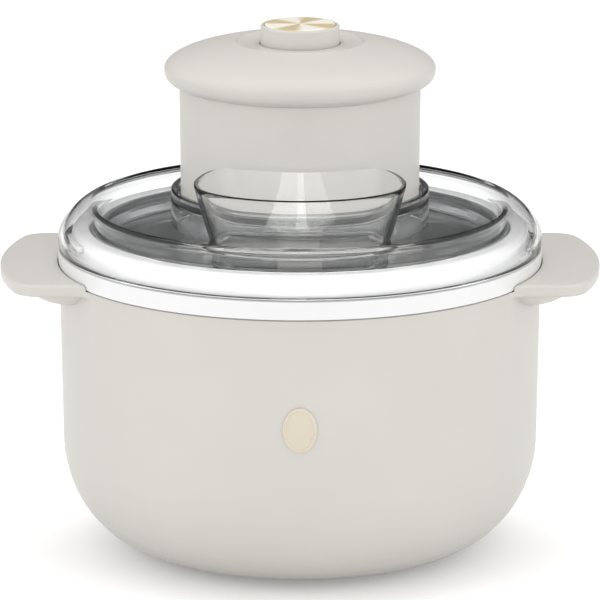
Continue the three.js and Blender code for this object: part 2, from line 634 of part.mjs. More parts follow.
// A spur gear with involute flanks and one tooth centred on the direction phase (radians).
function gear(teeth, phase, bore, [low, high]) {
  const centre = pitch(teeth);
  const base = centre * Math.cos(GEAR.angle);
  const [root, tip] = [centre - GEAR.dedendum * MODULE, centre + GEAR.addendum * MODULE];
  const halfAt = (r) => {
    const slope = r > base ? involute(Math.acos(base / r)) : 0;
    return Math.PI / (2 * teeth) - GEAR.backlash / (4 * centre) + involute(GEAR.angle) - slope;
  };
  const flank = [root, tip];
  const side = [...flank.map((r) => [r, -halfAt(r)]), ...flank.toReversed().map((r) => [r, halfAt(r)])];
  const points = Array.from({ length: teeth }, (_, i) => phase + 2 * Math.PI * i / teeth).flatMap((middle) =>
    side.map(([r, a]) => v2(r * Math.cos(middle + a), r * Math.sin(middle + a))));
  const shape = new THREE.Shape(points);
  shape.holes.push(new THREE.Path().absarc(0, 0, bore, 0, Math.PI * 2, true));
  return prism(shape, low, high, { curveSegments: 8 });
}

const [idlerX, idlerY] = idlerPlace();
const outputToIdler = Math.atan2(idlerY, idlerX);
const idlerToMotor = Math.atan2(MOTOR.y - idlerY, -idlerX);

function outputGear() {
  return gear(TEETH.output, outputToIdler, SHAFT.radius + 0.2, LOW_STAGE);
}

function idlerGear() {
  const bore = PIN_RADIUS + GAP;
  const facing = outputToIdler + Math.PI - Math.PI / TEETH.small;
  const small = gear(TEETH.small, facing, bore, [LOW_STAGE[0], HIGH_STAGE[0] + 1]);
  const wheel = gear(TEETH.wheel, idlerToMotor, bore, HIGH_STAGE);
  return join(small, wheel);
}

function motorPinion() {
  const facing = idlerToMotor + Math.PI - Math.PI / TEETH.pinion;
  return gear(TEETH.pinion, facing, ROTOR.shaft + 0.2, PINION_STAGE);
}

// The output shaft ends in a flat tang that drops between the paddle's dogs.
function driveShaft() {
  const { radius, top, bottom, tang, tangHalf, tangTop } = SHAFT;
  const round = disc(radius, tangTop - 2, top, 24);
  return join(round, box(tangHalf * 2, tang, bottom, tangTop));
}

// ---- Assembly -----------------------------------------------------------------------------

const model = new THREE.Group();

function add(name, geometry, look, [x, y] = [0, 0]) {
  const mesh = new THREE.Mesh(geometry, new THREE.MeshStandardMaterial(look));
  mesh.name = name;
  mesh.position.set(x, y, 0);
  model.add(mesh);
}

const unitAxis = [0, SETBACK];
const motorAxis = [0, MOTOR.y];
const idlerAxis = [idlerX, idlerY];

add('outer_housing', outerHousing(), BEIGE);
['front_left', 'front_right', 'rear_right', 'rear_left'].forEach((corner, i) =>
  add(`foot_${corner}`, foot(), RUBBER, footPlaces()[i]));
add('front_badge', frontBadge(), GOLD);

add('bowl_rim_ring', bowlRimRing(), WHITE);
add('bowl_outer_wall', bowlOuterWall(), WHITE);
add('bowl_inner_wall', bowlInnerWall(), ALUMINIUM);
add('neck_liner', neckLiner(), ALUMINIUM);
add('coolant_fill', coolantFill(), GEL);
add('coolant_plug', coolantPlug(), RUBBER);
add('bowl_gasket', bowlGasket(), SILICONE);
add('mixing_paddle', mixingPaddle(), NYLON);

add('lid_seal_ring', lidSealRing(), RUBBER);
add('lid_cover', lidCover(), CLEAR);
add('chute_cup', chuteCup(), CLEAR);

add('motor_housing', motorHousing(), BEIGE, unitAxis);
add('motor_cap', motorCap(), BEIGE, unitAxis);
add('gearbox_base', gearboxBase(), BEIGE);
add('gearbox_plate', gearboxPlate(), STEEL);
add('output_bush', tube(SHAFT.radius + GAP, BUSH.radius, ...BUSH.z, 24), BRASS);
add('shaft_seal', tube(SHAFT.radius + 0.2, BUSH.radius, ...BUSH.sealZ, 24), RUBBER);
add('idler_pin', disc(PIN_RADIUS, UNIT.bottom + 1.5, PLATE.top, SMALL), STEEL, idlerAxis);
POSTS.forEach((place, i) => add(`gearbox_screw_${i + 1}`, screw(PLATE.top + GAP, SCREW_TIP), STEEL, place));
add('motor_can', motorCan(), STEEL, motorAxis);
add('motor_end_cap', motorEndCap(), BLACK, motorAxis);
add('magnet_left', magnet(180), BLACK, motorAxis);
add('magnet_right', magnet(0), BLACK, motorAxis);
add('cord_gland', cordGland(), BLACK);
const { width, depth, top: terminalTop, y: terminalY } = TERMINALS;
add('terminal_block', box(width, depth, PLATE.top + GAP, terminalTop, 0, terminalY), NYLON);
add('switch_carrier', switchCarrier(), NYLON, unitAxis);
const carrierScrew = screw(CARRIER.bottom - GAP, CARRIER.screwTip);
add('carrier_screw_left', carrierScrew, STEEL, [-CARRIER.screwX, SETBACK]);
add('carrier_screw_right', carrierScrew.clone(), STEEL, [CARRIER.screwX, SETBACK]);
add('switch_body', switchBody(), BLACK, unitAxis);
add('switch_lead', lead(SWITCH_LEAD, LEAD_RADIUS), BLACK);
add('motor_lead', lead(MOTOR_LEAD, LEAD_RADIUS), RUBBER);

add('power_button', powerButton(), BEIGE, unitAxis);
add('button_disc', buttonDisc(), GOLD, unitAxis);
add('switch_plunger', disc(SWITCH.plunger, SWITCH.plungerZ, BUTTON.top - 4 - GAP, SMALL), NYLON, unitAxis);
add('button_spring', buttonSpring(), STEEL, unitAxis);

add('output_gear', outputGear(), NYLON);
add('drive_shaft', driveShaft(), STEEL);
add('shaft_clip', tube(SHAFT.radius + 0.2, CLIP.radius, ...CLIP.z, 24), STEEL);
add('idler_gear', idlerGear(), NYLON, idlerAxis);
add('motor_pinion', motorPinion(), BRASS, motorAxis);
add('rotor_shaft', disc(ROTOR.shaft, ROTOR.bottom, ROTOR.top, SMALL), STEEL, motorAxis);
add('armature', tube(ROTOR.shaft + 0.2, ROTOR.core, ...ROTOR.coreZ, 24), STEEL, motorAxis);
add('commutator', tube(ROTOR.shaft + 0.2, COMMUTATOR.radius, ...COMMUTATOR.z, SMALL), BRASS, motorAxis);

export default model;
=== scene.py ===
"""Looks of the ice cream maker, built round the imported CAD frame."""

import json
import math

import bmesh
import bpy
from mathutils import Matrix, Vector


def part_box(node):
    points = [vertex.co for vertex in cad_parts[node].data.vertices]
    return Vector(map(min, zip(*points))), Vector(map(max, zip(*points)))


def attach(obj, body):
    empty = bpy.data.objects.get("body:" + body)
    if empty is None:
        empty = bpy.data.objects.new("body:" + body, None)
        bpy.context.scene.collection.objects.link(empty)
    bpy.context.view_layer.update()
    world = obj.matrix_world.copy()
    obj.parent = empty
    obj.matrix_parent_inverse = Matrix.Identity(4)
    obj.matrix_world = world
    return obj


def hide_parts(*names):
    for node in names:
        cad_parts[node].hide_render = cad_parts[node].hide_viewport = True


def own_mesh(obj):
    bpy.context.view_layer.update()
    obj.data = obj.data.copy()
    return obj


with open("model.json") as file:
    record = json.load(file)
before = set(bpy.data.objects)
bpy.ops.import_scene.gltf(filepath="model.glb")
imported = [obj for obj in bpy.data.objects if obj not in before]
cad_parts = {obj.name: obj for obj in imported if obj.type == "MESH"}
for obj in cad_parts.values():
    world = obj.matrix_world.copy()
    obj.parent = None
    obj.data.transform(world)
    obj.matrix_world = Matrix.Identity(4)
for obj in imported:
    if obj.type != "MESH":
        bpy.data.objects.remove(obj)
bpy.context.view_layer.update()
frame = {"nodes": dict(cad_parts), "record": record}

MM = 0.001
# Facets round a circle: pot and lid, button, motor, shafts, screws.
ROUND, BUTTON_ROUND, UNIT_ROUND, FINE, COARSE = 160, 128, 96, 64, 32
SHARP = math.radians(32)   # edges that turn by more than this stay sharp in the shading

# Sizes in millimetres, near those of the CAD model.
RIM_RADIUS, WAIST_RADIUS, BASE_RADIUS = 102.2, 101.0, 60.0
BASE_Z, WAIST_Z, RIM_Z, POT_WALL = 2.5, 50.0, 123.1, 2.6
EAR_OUTER, EAR_HALF, EAR_CORNER, EAR_BLEND = 127.2, 49.5, 12.0, 10.0
EAR_TOP, EAR_THICK, EAR_EDGE = 125.4, 5.2, 1.3
GUSSET_OUTER, GUSSET_FOOT, GUSSET_HALF = 118.0, 111.8, 44.0
BAND_RADIUS, BAND_LOW, BAND_HIGH = 102.6, 123.4, 131.1
NECK_RADIUS, MOUTH_RADIUS, MOUTH_TOP = 96.5, 88.5, 140.2
LID_CREST, LID_TOP, LID_RISE, LID_LOW, LID_FLOOR, LID_WALL = 89.0, 150.2, 136.2, 131.7, 138.0, 2.0
RECESS_RADIUS, RECESS_CREST, RECESS_FOOT, RECESS_FILLET = 84.5, 144.8, 141.5, 3.5
SHOULDER_POWER = 1.63
TURRET_OUTER, TURRET_LIP, TURRET_TOP, TURRET_SEAT, TURRET_WALL = 55.0, 52.2, 153.0, 150.2, 2.4
CUP_SKIRT, CUP_LIP, CUP_FLOOR, CUP_RIM, CUP_WALL = 137.5, 144.2, 146.0, 171.0, 1.8
CHUTE_LOW, CHUTE_HIGH, CHUTE_INSET, CHUTE_WALL = 131.0, 143.8, 1.8, 2.0
CAP_RADIUS, CAP_Z, CAP_RISE, CAP_LIP, CAP_LIP_Z, CAP_WALL = 57.7, 204.7, 13.04, 53.8, 199.1, 2.4
UNIT_LOW, UNIT_HIGH, UNIT_FOOT, UNIT_HEAD, UNIT_INNER = 150.5, 197.8, 50.8, 51.3, 48.6
FLARE_Z, FILLER_X, GLAND_Z = 133.4, 30, 161
SETBACK, MOTOR_Y = 17.0, 24.0   # the motor unit's axis and the motor's, behind the bowl's

# The walls of the bowl: radius at foot and mouth, height of the floor, radius of the corner.
LINING, JACKET, FILLING = (78.2, 85.2, 28, 12), (87, 95, 12, 20), (87, 94, 12, 20)

# Half outlines of the chute at its lip and at the cup's rim, back to front.
LIP_OUTLINE = ((0, -40.5), (17, -39.6), (28, -37.8), (34, -42),
               (38.1, -54), (34.5, -69), (20, -80.2), (0, -84))
RIM_OUTLINE = ((0, -35.8), (19, -33.2), (32, -28.6), (38.6, -35),
               (44.2, -58), (39.5, -74), (23, -87.2), (0, -92))

FEET = ("foot_front_left", "foot_front_right", "foot_rear_right", "foot_rear_left")
GEARBOX_SCREWS = ("gearbox_screw_1", "gearbox_screw_2", "gearbox_screw_3")
CARRIER_SCREWS = ("carrier_screw_left", "carrier_screw_right")

# Lamps: place, what they point at, width and height in metres, power in watts.
LAMPS = {
    "key": ((-0.15, -1.75, 0.35), (0, 0, 0.14), 0.5, 0.8, 4.6),
    "fill": ((0.2, -1.75, 0.3), (0, 0, 0.14), 0.5, 0.8, 3.2),
    "top": ((0, 0.2, 1.5), (0, 0, 0.15), 1.2, 1.2, 8),
    "left": ((-1.7, 0.0, 0.3), (0, 0, 0.12), 0.5, 0.8, 4.6),
    "right": ((1.7, 0.0, 0.3), (0, 0, 0.12), 0.5, 0.8, 4.4),
}
SOFT_LIGHT = 0.8           # strength of the room's even light


# ---- Node helpers ----

def new_material(name):
    material = bpy.data.materials.new(name)
    material.use_nodes = True
    tree = material.node_tree
    return material, tree.nodes, tree.links, tree.nodes["Principled BSDF"]


def noise(nodes, links, scale, detail=3.0, rough=0.5, stretch=None):
    """A noise texture in object space, in metres, optionally stretched."""
    coords = nodes.new("ShaderNodeTexCoord")
    texture = nodes.new("ShaderNodeTexNoise")
    texture.inputs["Scale"].default_value = scale
    texture.inputs["Detail"].default_value = detail
    texture.inputs["Roughness"].default_value = rough
    if stretch:
        mapping = nodes.new("ShaderNodeMapping")
        mapping.inputs["Scale"].default_value = stretch
        links.new(coords.outputs["Object"], mapping.inputs["Vector"])
        links.new(mapping.outputs["Vector"], texture.inputs["Vector"])
    else:
        links.new(coords.outputs["Object"], texture.inputs["Vector"])
    return texture.outputs["Fac"]


def ramp(nodes, links, source, low, high, start=0.3, end=0.7):
    """A colour ramp from low to high, as RGB, over part of the source's range."""
    node = nodes.new("ShaderNodeValToRGB")
    node.color_ramp.elements[0].position = start
    node.color_ramp.elements[1].position = end
    node.color_ramp.elements[0].color = (*low, 1)
    node.color_ramp.elements[1].color = (*high, 1)
    links.new(source, node.inputs["Fac"])
    return node.outputs["Color"]


def spread(nodes, links, source, low, high):
    node = nodes.new("ShaderNodeMapRange")
    node.inputs["To Min"].default_value = low
    node.inputs["To Max"].default_value = high
    links.new(source, node.inputs["Value"])
    return node.outputs["Result"]


def bump(nodes, links, shader, source, strength, distance):
    node = nodes.new("ShaderNodeBump")
    node.inputs["Strength"].default_value = strength
    node.inputs["Distance"].default_value = distance
    links.new(source, node.inputs["Height"])
    links.new(node.outputs["Normal"], shader.inputs["Normal"])


def plastic(name, low, high, rough, grain, depth, coat=0.0, gloss=0.5):
    """Moulded plastic: faint mottling, a fine spark-eroded grain and uneven gloss."""
    mottle, sheen, strength = 18, 60, 0.35   # scales of colour and gloss noise, bump strength
    material, nodes, links, shader = new_material(name)
    links.new(ramp(nodes, links, noise(nodes, links, mottle), low, high), shader.inputs["Base Color"])
    links.new(spread(nodes, links, noise(nodes, links, sheen), *rough), shader.inputs["Roughness"])
    bump(nodes, links, shader, noise(nodes, links, grain, 2), strength, depth)
    shader.inputs["Specular IOR Level"].default_value = gloss
    shader.inputs["Coat Weight"].default_value = coat
    shader.inputs["Coat Roughness"].default_value = 0.12
    return material


def paint_seam_shade(material, shade):
    """Paints shade into a material's colour in narrow seams: ambient occlusion over about a millimetre
    darkens it to a shade of grey.
    """
    nodes, links = material.node_tree.nodes, material.node_tree.links
    shader = nodes["Principled BSDF"]
    before = shader.inputs["Base Color"].links[0].from_socket
    # painted shade: ambient occlusion darkens the colour where parts meet closely
    gap = nodes.new("ShaderNodeAmbientOcclusion")
    gap.samples = 8
    gap.inputs["Distance"].default_value = 0.0012
    dark = nodes.new("ShaderNodeMath")
    dark.operation = "POWER"
    dark.inputs[1].default_value = 2.5
    links.new(gap.outputs["AO"], dark.inputs[0])
    mix = nodes.new("ShaderNodeMix")
    mix.data_type = "RGBA"
    mix.inputs["A"].default_value = (shade, shade, shade, 1)
    links.new(dark.outputs[0], mix.inputs["Factor"])
    links.new(before, mix.inputs["B"])
    links.new(mix.outputs["Result"], shader.inputs["Base Color"])


def clear_plastic(name, index):
    """Clear moulded plastic that lets lamps light what is behind it."""
    material, nodes, links, shader = new_material(name)
    tint = ramp(nodes, links, noise(nodes, links, 9), (0.975, 0.98, 0.98), (0.995, 0.995, 0.995))
    links.new(tint, shader.inputs["Base Color"])
    links.new(spread(nodes, links, noise(nodes, links, 45), 0.0, 0.035), shader.inputs["Roughness"])
    bump(nodes, links, shader, noise(nodes, links, 35, 1), 0.12, 0.0006)
    shader.inputs["Transmission Weight"].default_value = 1.0
    shader.inputs["IOR"].default_value = index
    path = nodes.new("ShaderNodeLightPath")
    through = nodes.new("ShaderNodeBsdfTransparent")
    through.inputs["Color"].default_value = (0.98, 0.98, 0.98, 1)
    mix = nodes.new("ShaderNodeMixShader")
    links.new(path.outputs["Is Shadow Ray"], mix.inputs["Fac"])
    links.new(shader.outputs["BSDF"], mix.inputs[1])
    links.new(through.outputs["BSDF"], mix.inputs[2])
    links.new(mix.outputs["Shader"], nodes["Material Output"].inputs["Surface"])
    return material


def metal(name, low, high, rough, stretch, scale, depth=0.00003, metallic=1.0):
    """Metal with fine drawn or turned marks along one direction."""
    material, nodes, links, shader = new_material(name)
    shader.inputs["Metallic"].default_value = metallic
    marks = noise(nodes, links, scale, 4, 0.6, stretch)
    links.new(ramp(nodes, links, noise(nodes, links, 30), low, high), shader.inputs["Base Color"])
    links.new(spread(nodes, links, marks, *rough), shader.inputs["Roughness"])
    bump(nodes, links, shader, marks, 0.25, depth)
    return material


def angle_about(nodes, links, x, y):
    """The angle about a vertical axis through x, y in metres, from 0 to 1, and the place measured
    from that axis."""
    coords = nodes.new("ShaderNodeTexCoord")
    mapping = nodes.new("ShaderNodeMapping")
    mapping.inputs["Location"].default_value = (-x, -y, 0)
    turn = nodes.new("ShaderNodeTexGradient")
    turn.gradient_type = "RADIAL"
    links.new(coords.outputs["Object"], mapping.inputs["Vector"])
    links.new(mapping.outputs["Vector"], turn.inputs["Vector"])
    return turn.outputs["Fac"], mapping.outputs["Vector"]


def spun_gold():
    """Pale gold, spun: fine circles round the button's axis, and painted highlight wedges in its colour,
    which stand in for the wedges of light that such a face shows."""
    painted_highlight_wedges = 4
    material, nodes, links, shader = new_material("gold_spun")
    turn, place = angle_about(nodes, links, 0, SETBACK * MM)
    # painted highlight: the colour is lighter in wedges round the axis, standing in for the spun face's
    # reflections
    wedges = nodes.new("ShaderNodeMath")
    wedges.operation = "MULTIPLY"
    wedges.inputs[1].default_value = 2 * math.pi * painted_highlight_wedges
    links.new(turn, wedges.inputs[0])
    wave = nodes.new("ShaderNodeMath")
    wave.operation = "SINE"
    links.new(wedges.outputs[0], wave.inputs[0])
    level = nodes.new("ShaderNodeMapRange")
    level.inputs["From Min"].default_value = -1.0
    links.new(wave.outputs[0], level.inputs["Value"])
    links.new(ramp(nodes, links, level.outputs["Result"], (0.70, 0.58, 0.34), (1.0, 0.96, 0.86), 0.15, 0.75),
              shader.inputs["Base Color"])
    rings = nodes.new("ShaderNodeTexWave")
    rings.wave_type = "RINGS"
    rings.rings_direction = "Z"
    rings.inputs["Scale"].default_value = 900
    links.new(place, rings.inputs["Vector"])
    bump(nodes, links, shader, rings.outputs["Fac"], 0.25, 0.00004)
    shader.inputs["Metallic"].default_value = 0.15
    shader.inputs["Specular IOR Level"].default_value = 0.2
    shader.inputs["Roughness"].default_value = 0.36
    shader.inputs["Anisotropic"].default_value = 0.7
    tangent = nodes.new("ShaderNodeTangent")
    tangent.direction_type = "RADIAL"
    tangent.axis = "Z"
    links.new(tangent.outputs["Tangent"], shader.inputs["Tangent"])
    return material


# Darkest and lightest colour, roughness, the grain's scale and its depth in metres, coat, gloss.
PLASTICS = {
    "body_plastic": ((0.61, 0.59, 0.555), (0.63, 0.61, 0.575), (0.34, 0.42), 1400, 0.00004, 0.0, 0.2),
    "rim_plastic": ((0.80, 0.80, 0.80), (0.82, 0.82, 0.82), (0.12, 0.18), 700, 0.00001, 0.5),
    "paddle_plastic": ((0.74, 0.73, 0.69), (0.78, 0.77, 0.73), (0.35, 0.45), 1200, 0.00004),
    "nylon": ((0.70, 0.68, 0.60), (0.76, 0.74, 0.66), (0.4, 0.5), 900, 0.00005),
    "black_plastic": ((0.018, 0.018, 0.02), (0.03, 0.03, 0.033), (0.4, 0.5), 1100, 0.00006),
    "rubber": ((0.016, 0.016, 0.016), (0.03, 0.03, 0.03), (0.7, 0.85), 700, 0.0001),
    "silicone": ((0.55, 0.55, 0.53), (0.62, 0.62, 0.60), (0.45, 0.6), 600, 0.00004),
    "gel": ((0.45, 0.60, 0.70), (0.62, 0.74, 0.80), (0.25, 0.5), 200, 0.0003),
    "gold_plate": ((0.60, 0.53, 0.42), (0.68, 0.61, 0.50), (0.22, 0.34), 500, 0.00003, 0.3),
}
# Darkest and lightest colour, roughness, how the marks are stretched, their scale and their depth
# in metres, how metallic it is.
METALS = {
    "bowl_aluminium": ((0.78, 0.79, 0.80), (0.90, 0.91, 0.92), (0.08, 0.22), (1, 1, 0.25), 70, 0.0012, 0.9),
    "steel": ((0.50, 0.51, 0.52), (0.60, 0.61, 0.62), (0.25, 0.4), (1, 1, 6), 500),
    "brass": ((0.62, 0.45, 0.18), (0.75, 0.57, 0.26), (0.22, 0.36), (1, 1, 6), 500),
}
CLEAR = {"clear_plastic": 1.36, "clear_cup": 1.46}     # index of refraction
# grey of the painted shade in the rim's seams
RIM_PAINTED_SHADE = 0.6

MATERIALS = {name: plastic(name, *look) for name, look in PLASTICS.items()}
MATERIALS.update((name, metal(name, *look)) for name, look in METALS.items())
MATERIALS.update((name, clear_plastic(name, index)) for name, index in CLEAR.items())
MATERIALS["gold_trim"] = spun_gold()
# the rim's colour gets painted shade in its narrow seams
paint_seam_shade(MATERIALS["rim_plastic"], RIM_PAINTED_SHADE)


# ---- Mesh helpers ----

def build(name, points, faces):
    """A mesh object from points in millimetres, with its faces turned outwards."""
    mesh = bpy.data.meshes.new(name)
    mesh.from_pydata([Vector(p) * MM for p in points], [], faces)
    work = bmesh.new()
    work.from_mesh(mesh)
    bmesh.ops.remove_doubles(work, verts=work.verts, dist=0.002 * MM)
    bmesh.ops.recalc_face_normals(work, faces=work.faces)
    work.to_mesh(mesh)
    work.free()
    piece = bpy.data.objects.new(name, mesh)
    bpy.context.scene.collection.objects.link(piece)
    return piece


def arc(cx, cy, rx, ry, start, end, steps):
    """Points along an ellipse's arc, angles in degrees."""
    angles = [math.radians(start + (end - start) * i / steps) for i in range(steps + 1)]
    return [(cx + rx * math.cos(a), cy + ry * math.sin(a)) for a in angles]


def eased(corners, steps=5):
    """An outline whose corners with a third number are rounded to that radius."""
    outline = []
    count = len(corners)
    for i, corner in enumerate(corners):
        here = Vector(corner[:2])
        radius = corner[2] if len(corner) > 2 else 0
        if not radius:
            outline.append(tuple(here))
            continue
        before = (Vector(corners[i - 1][:2]) - here).normalized()
        after = (Vector(corners[(i + 1) % count][:2]) - here).normalized()
        half = before.angle(after) / 2
        start, end = here + before * radius / math.tan(half), here + after * radius / math.tan(half)
        centre = here + (before + after).normalized() * radius / math.sin(half)
        for k in range(steps + 1):
            blend = start.lerp(end, k / steps) - centre
            outline.append(tuple(centre + blend.normalized() * radius))
    return outline


def cylinder(radius, low, high, bore=0):
    """The outline of a plain cylinder or tube."""
    return [(bore, low), (radius, low), (radius, high), (bore, high)]


def washer(inner, outer, low, high, ease):
    """The outline of a ring with four rounded edges."""
    return eased([(inner, low, ease), (outer, low, ease), (outer, high, ease), (inner, high, ease)])


def turned(name, outline, x=0.0, y=0.0, facets=ROUND):
    """A solid of revolution about a vertical axis from a closed (radius, height) outline."""
    on_axis = [i for i, (r, _) in enumerate(outline) if abs(r) < 1e-6]
    if on_axis:
        start = on_axis[0] if on_axis[-1] - on_axis[0] > 1 else on_axis[-1]
        outline = outline[start:] + outline[:start]
    points, rows = [], []
    for r, z in outline:
        turns = 1 if abs(r) < 1e-6 else facets
        rows.append([len(points) + k for k in range(turns)])
        for k in range(turns):
            a = 2 * math.pi * k / facets
            points.append((x + r * math.cos(a), y + r * math.sin(a), z))
    faces = []
    for row, other in zip(rows, rows[1:] + rows[:1]):
        if len(row) == 1 and len(other) == 1:
            continue
        for k in range(facets):
            n = (k + 1) % facets
            ring = [row[k % len(row)], row[n % len(row)], other[n % len(other)], other[k % len(other)]]
            faces.append(list(dict.fromkeys(ring)))
    return build(name, points, faces)


def skinned(name, loops):
    """A closed skin over loops of equal length, capped at both ends."""
    count = len(loops[0])
    points = [p for loop in loops for p in loop]
    faces = []
    for row in range(len(loops) - 1):
        for i in range(count):
            n = (i + 1) % count
            faces.append([row * count + i, row * count + n, (row + 1) * count + n, (row + 1) * count + i])
    for row in (0, len(loops) - 1):
        faces.append([row * count + i for i in range(count)])
    return build(name, points, faces)


def block(name, low, high, edge):
    """A box with eased edges between two corners in millimetres."""
    corners = [(x, y, z) for x in (low[0], high[0]) for y in (low[1], high[1]) for z in (low[2], high[2])]
    faces = [(0, 1, 3, 2), (4, 6, 7, 5), (0, 4, 5, 1), (2, 3, 7, 6), (0, 2, 6, 4), (1, 5, 7, 3)]
    return eased_edges(build(name, corners, faces), edge)


def settle(piece):
    """Applies the piece's modifiers to its mesh."""
    graph = bpy.context.evaluated_depsgraph_get()
    mesh = bpy.data.meshes.new_from_object(piece.evaluated_get(graph))
    piece.modifiers.clear()
    old, piece.data = piece.data, mesh
    bpy.data.meshes.remove(old)
    return piece


def add_bevel(piece, width, limit, segments):
    """A modifier that rounds the edges which turn by more than limit degrees."""
    bevel = piece.modifiers.new("edges", "BEVEL")
    bevel.width = width * MM
    bevel.segments = segments
    bevel.limit_method = "ANGLE"
    bevel.angle_limit = math.radians(limit)


def eased_edges(piece, width, limit=40, segments=3):
    add_bevel(piece, width, limit, segments)
    return settle(piece)


def combined(piece, operation, *others):
    """Joins or cuts the piece with others, which are used up."""
    for other in others:
        step = piece.modifiers.new("step", "BOOLEAN")
        step.operation = operation
        step.solver = "EXACT"
        step.object = other
        bpy.context.view_layer.update()
        settle(piece)
        bpy.data.objects.remove(other)
    return piece


def dress(piece, body, slot, *nodes, look=None):
    """Gives a piece its material and its body, and hides the CAD nodes that it stands for."""
    piece.data.materials.clear()
    piece.data.materials.append(MATERIALS[look or slot])
    piece.data.shade_smooth()
    piece.data.set_sharp_from_angle(angle=SHARP)
    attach(piece, body)
    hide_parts(*nodes)
    return piece


def sector(name, inner, outer, low, high, centre, half):
    """A slice of a ring, angles in degrees."""
    steps = 8
    turn = [math.radians(centre - half + 2 * half * k / steps) for k in range(steps + 1)]
    rim = [(outer * math.cos(a), outer * math.sin(a)) for a in turn]
    rim += [(inner * math.cos(a), inner * math.sin(a)) for a in reversed(turn)]
    return skinned(name, [[(*p, low) for p in rim], [(*p, high) for p in rim]])


def closed_curve(half, z, inset):
    """A smooth closed loop at height z through a half outline and its mirror image, moved
    inwards by inset (centripetal Catmull-Rom)."""
    per_span = 9
    right = [Vector(p) for p in half]
    ring = right + [Vector((-x, y)) for x, y in reversed(half[1:-1])]
    count = len(ring)
    loop = []
    for i in range(count):
        p0, p1, p2, p3 = (ring[(i + k) % count] for k in (-1, 0, 1, 2))
        t1 = math.sqrt((p1 - p0).length)
        t2 = t1 + math.sqrt((p2 - p1).length)
        t3 = t2 + math.sqrt((p3 - p2).length)
        for k in range(per_span):
            t = t1 + (t2 - t1) * k / per_span
            a1 = p0 * (t1 - t) / t1 + p1 * t / t1
            a2 = p1 * (t2 - t) / (t2 - t1) + p2 * (t - t1) / (t2 - t1)
            a3 = p2 * (t3 - t) / (t3 - t2) + p3 * (t - t2) / (t3 - t2)
            b1 = a1 * (t2 - t) / t2 + a2 * t / t2
            b2 = a2 * (t3 - t) / (t3 - t1) + a3 * (t - t1) / (t3 - t1)
            loop.append(b1 * (t2 - t) / (t2 - t1) + b2 * (t - t1) / (t2 - t1))
    moved = []
    total = len(loop)
    for i, p in enumerate(loop):
        along = (loop[(i + 1) % total] - loop[i - 1]).normalized()
        moved.append((p.x + along.y * inset, p.y - along.x * inset, z))
    return moved


# ---- Housing ----

def centres(*names):
    """Where CAD nodes stand in plan, by name, as (x, y) in millimetres."""
    places = {}
    for name in names:
        low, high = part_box(name)
        places[name] = ((low[0] + high[0]) / 2 / MM, (low[1] + high[1]) / 2 / MM)
    return places


def ear_outline():
    """Half plan of an ear on the +X side, from the pot's wall out, as (x, y) with y positive."""
    margin, trim = 4, 1.5    # degrees left out at the ends of the two long arcs
    blend_x = math.sqrt((RIM_RADIUS + EAR_BLEND) ** 2 - (EAR_HALF + EAR_BLEND) ** 2)
    root = math.degrees(math.atan2(EAR_HALF + EAR_BLEND, blend_x))
    corner_x = math.sqrt((EAR_OUTER - EAR_CORNER) ** 2 - (EAR_HALF - EAR_CORNER) ** 2)
    meet = math.degrees(math.atan2(EAR_HALF - EAR_CORNER, corner_x))
    embedded = RIM_RADIUS - POT_WALL / 2
    start = (embedded * math.cos(math.radians(root)), embedded * math.sin(math.radians(root)))
    return [
        (embedded, 0.0), *arc(0, 0, embedded, embedded, margin, root - margin, 7), start,
        *arc(blend_x, EAR_HALF + EAR_BLEND, EAR_BLEND, EAR_BLEND, root + 180, 270, 8),
        *arc(corner_x, EAR_HALF - EAR_CORNER, EAR_CORNER, EAR_CORNER, 90, meet, 12),
        *arc(0, 0, EAR_OUTER, EAR_OUTER, meet - trim, 0, 10),
    ]


def gusset(top):
    """The curved web under an ear, from the pot's wall up to the ear's underside at top."""
    overlap, slices, thinnest = 1.5, 40, 0.02
    inner = RIM_RADIUS - POT_WALL / 2
    reach = math.asin(GUSSET_HALF / WAIST_RADIUS)
    curve = arc(inner, top, GUSSET_OUTER - inner, top - GUSSET_FOOT, -90, 0, 12)
    sections = []
    for k in range(slices + 1):
        s = math.sin(math.pi / 2 * (2 * k / slices - 1))
        size = max(thinnest, (1 - s ** 4) ** 0.5)
        a = reach * s
        web = [(inner, top + overlap),
               *[(inner + (r - inner) * size, top + (z - top) * size) for r, z in curve],
               (inner + (GUSSET_OUTER - inner) * size, top + overlap)]
        sections.append([(r * math.cos(a), r * math.sin(a), z) for r, z in web])
    return skinned("gusset", sections)


def ear(side):
    """One ear: a plate with rounded edges, cut clear of the bowl's band, and its gusset."""
    band_gap, above = 0.4, 5
    half = ear_outline()
    plan = [Vector(p) for p in half + [(x, -y) for x, y in reversed(half[1:-1])]]
    count = len(plan)
    low = EAR_TOP - EAR_THICK
    turn = [math.radians(a) for a in (90, 72, 54, 36, 18, 0)]
    levels = [(EAR_EDGE * (1 - math.cos(a)), low + EAR_EDGE * (1 - math.sin(a))) for a in turn]
    levels += [(EAR_EDGE * (1 - math.cos(a)), EAR_TOP - EAR_EDGE * (1 - math.sin(a))) for a in turn[::-1]]
    loops = []
    for inset, z in levels:
        loop = []
        for i, p in enumerate(plan):
            along = (plan[(i + 1) % count] - plan[i - 1]).normalized()
            shift = inset * min(1.0, max(0.0, (p.length - RIM_RADIUS) / EAR_EDGE))
            loop.append((p.x + along.y * shift, p.y - along.x * shift, z))
        loops.append(loop)
    plate = skinned("plate", loops)
    clearance = turned("clearance", cylinder(BAND_RADIUS + band_gap, RIM_Z, EAR_TOP + above))
    plate = combined(plate, "DIFFERENCE", clearance)
    whole = combined(plate, "UNION", gusset(low))
    if side < 0:
        whole.data.transform(Matrix.Rotation(math.pi, 4, "Z"))
    return whole


def pot_side(inset, steps):
    """The pot's side from its base to its rim, moved inwards by inset."""
    across, rise = WAIST_RADIUS - BASE_RADIUS - inset, WAIST_Z - BASE_Z - inset
    return [*arc(BASE_RADIUS, WAIST_Z, across, rise, -90, 0, steps), (RIM_RADIUS - inset, RIM_Z)]


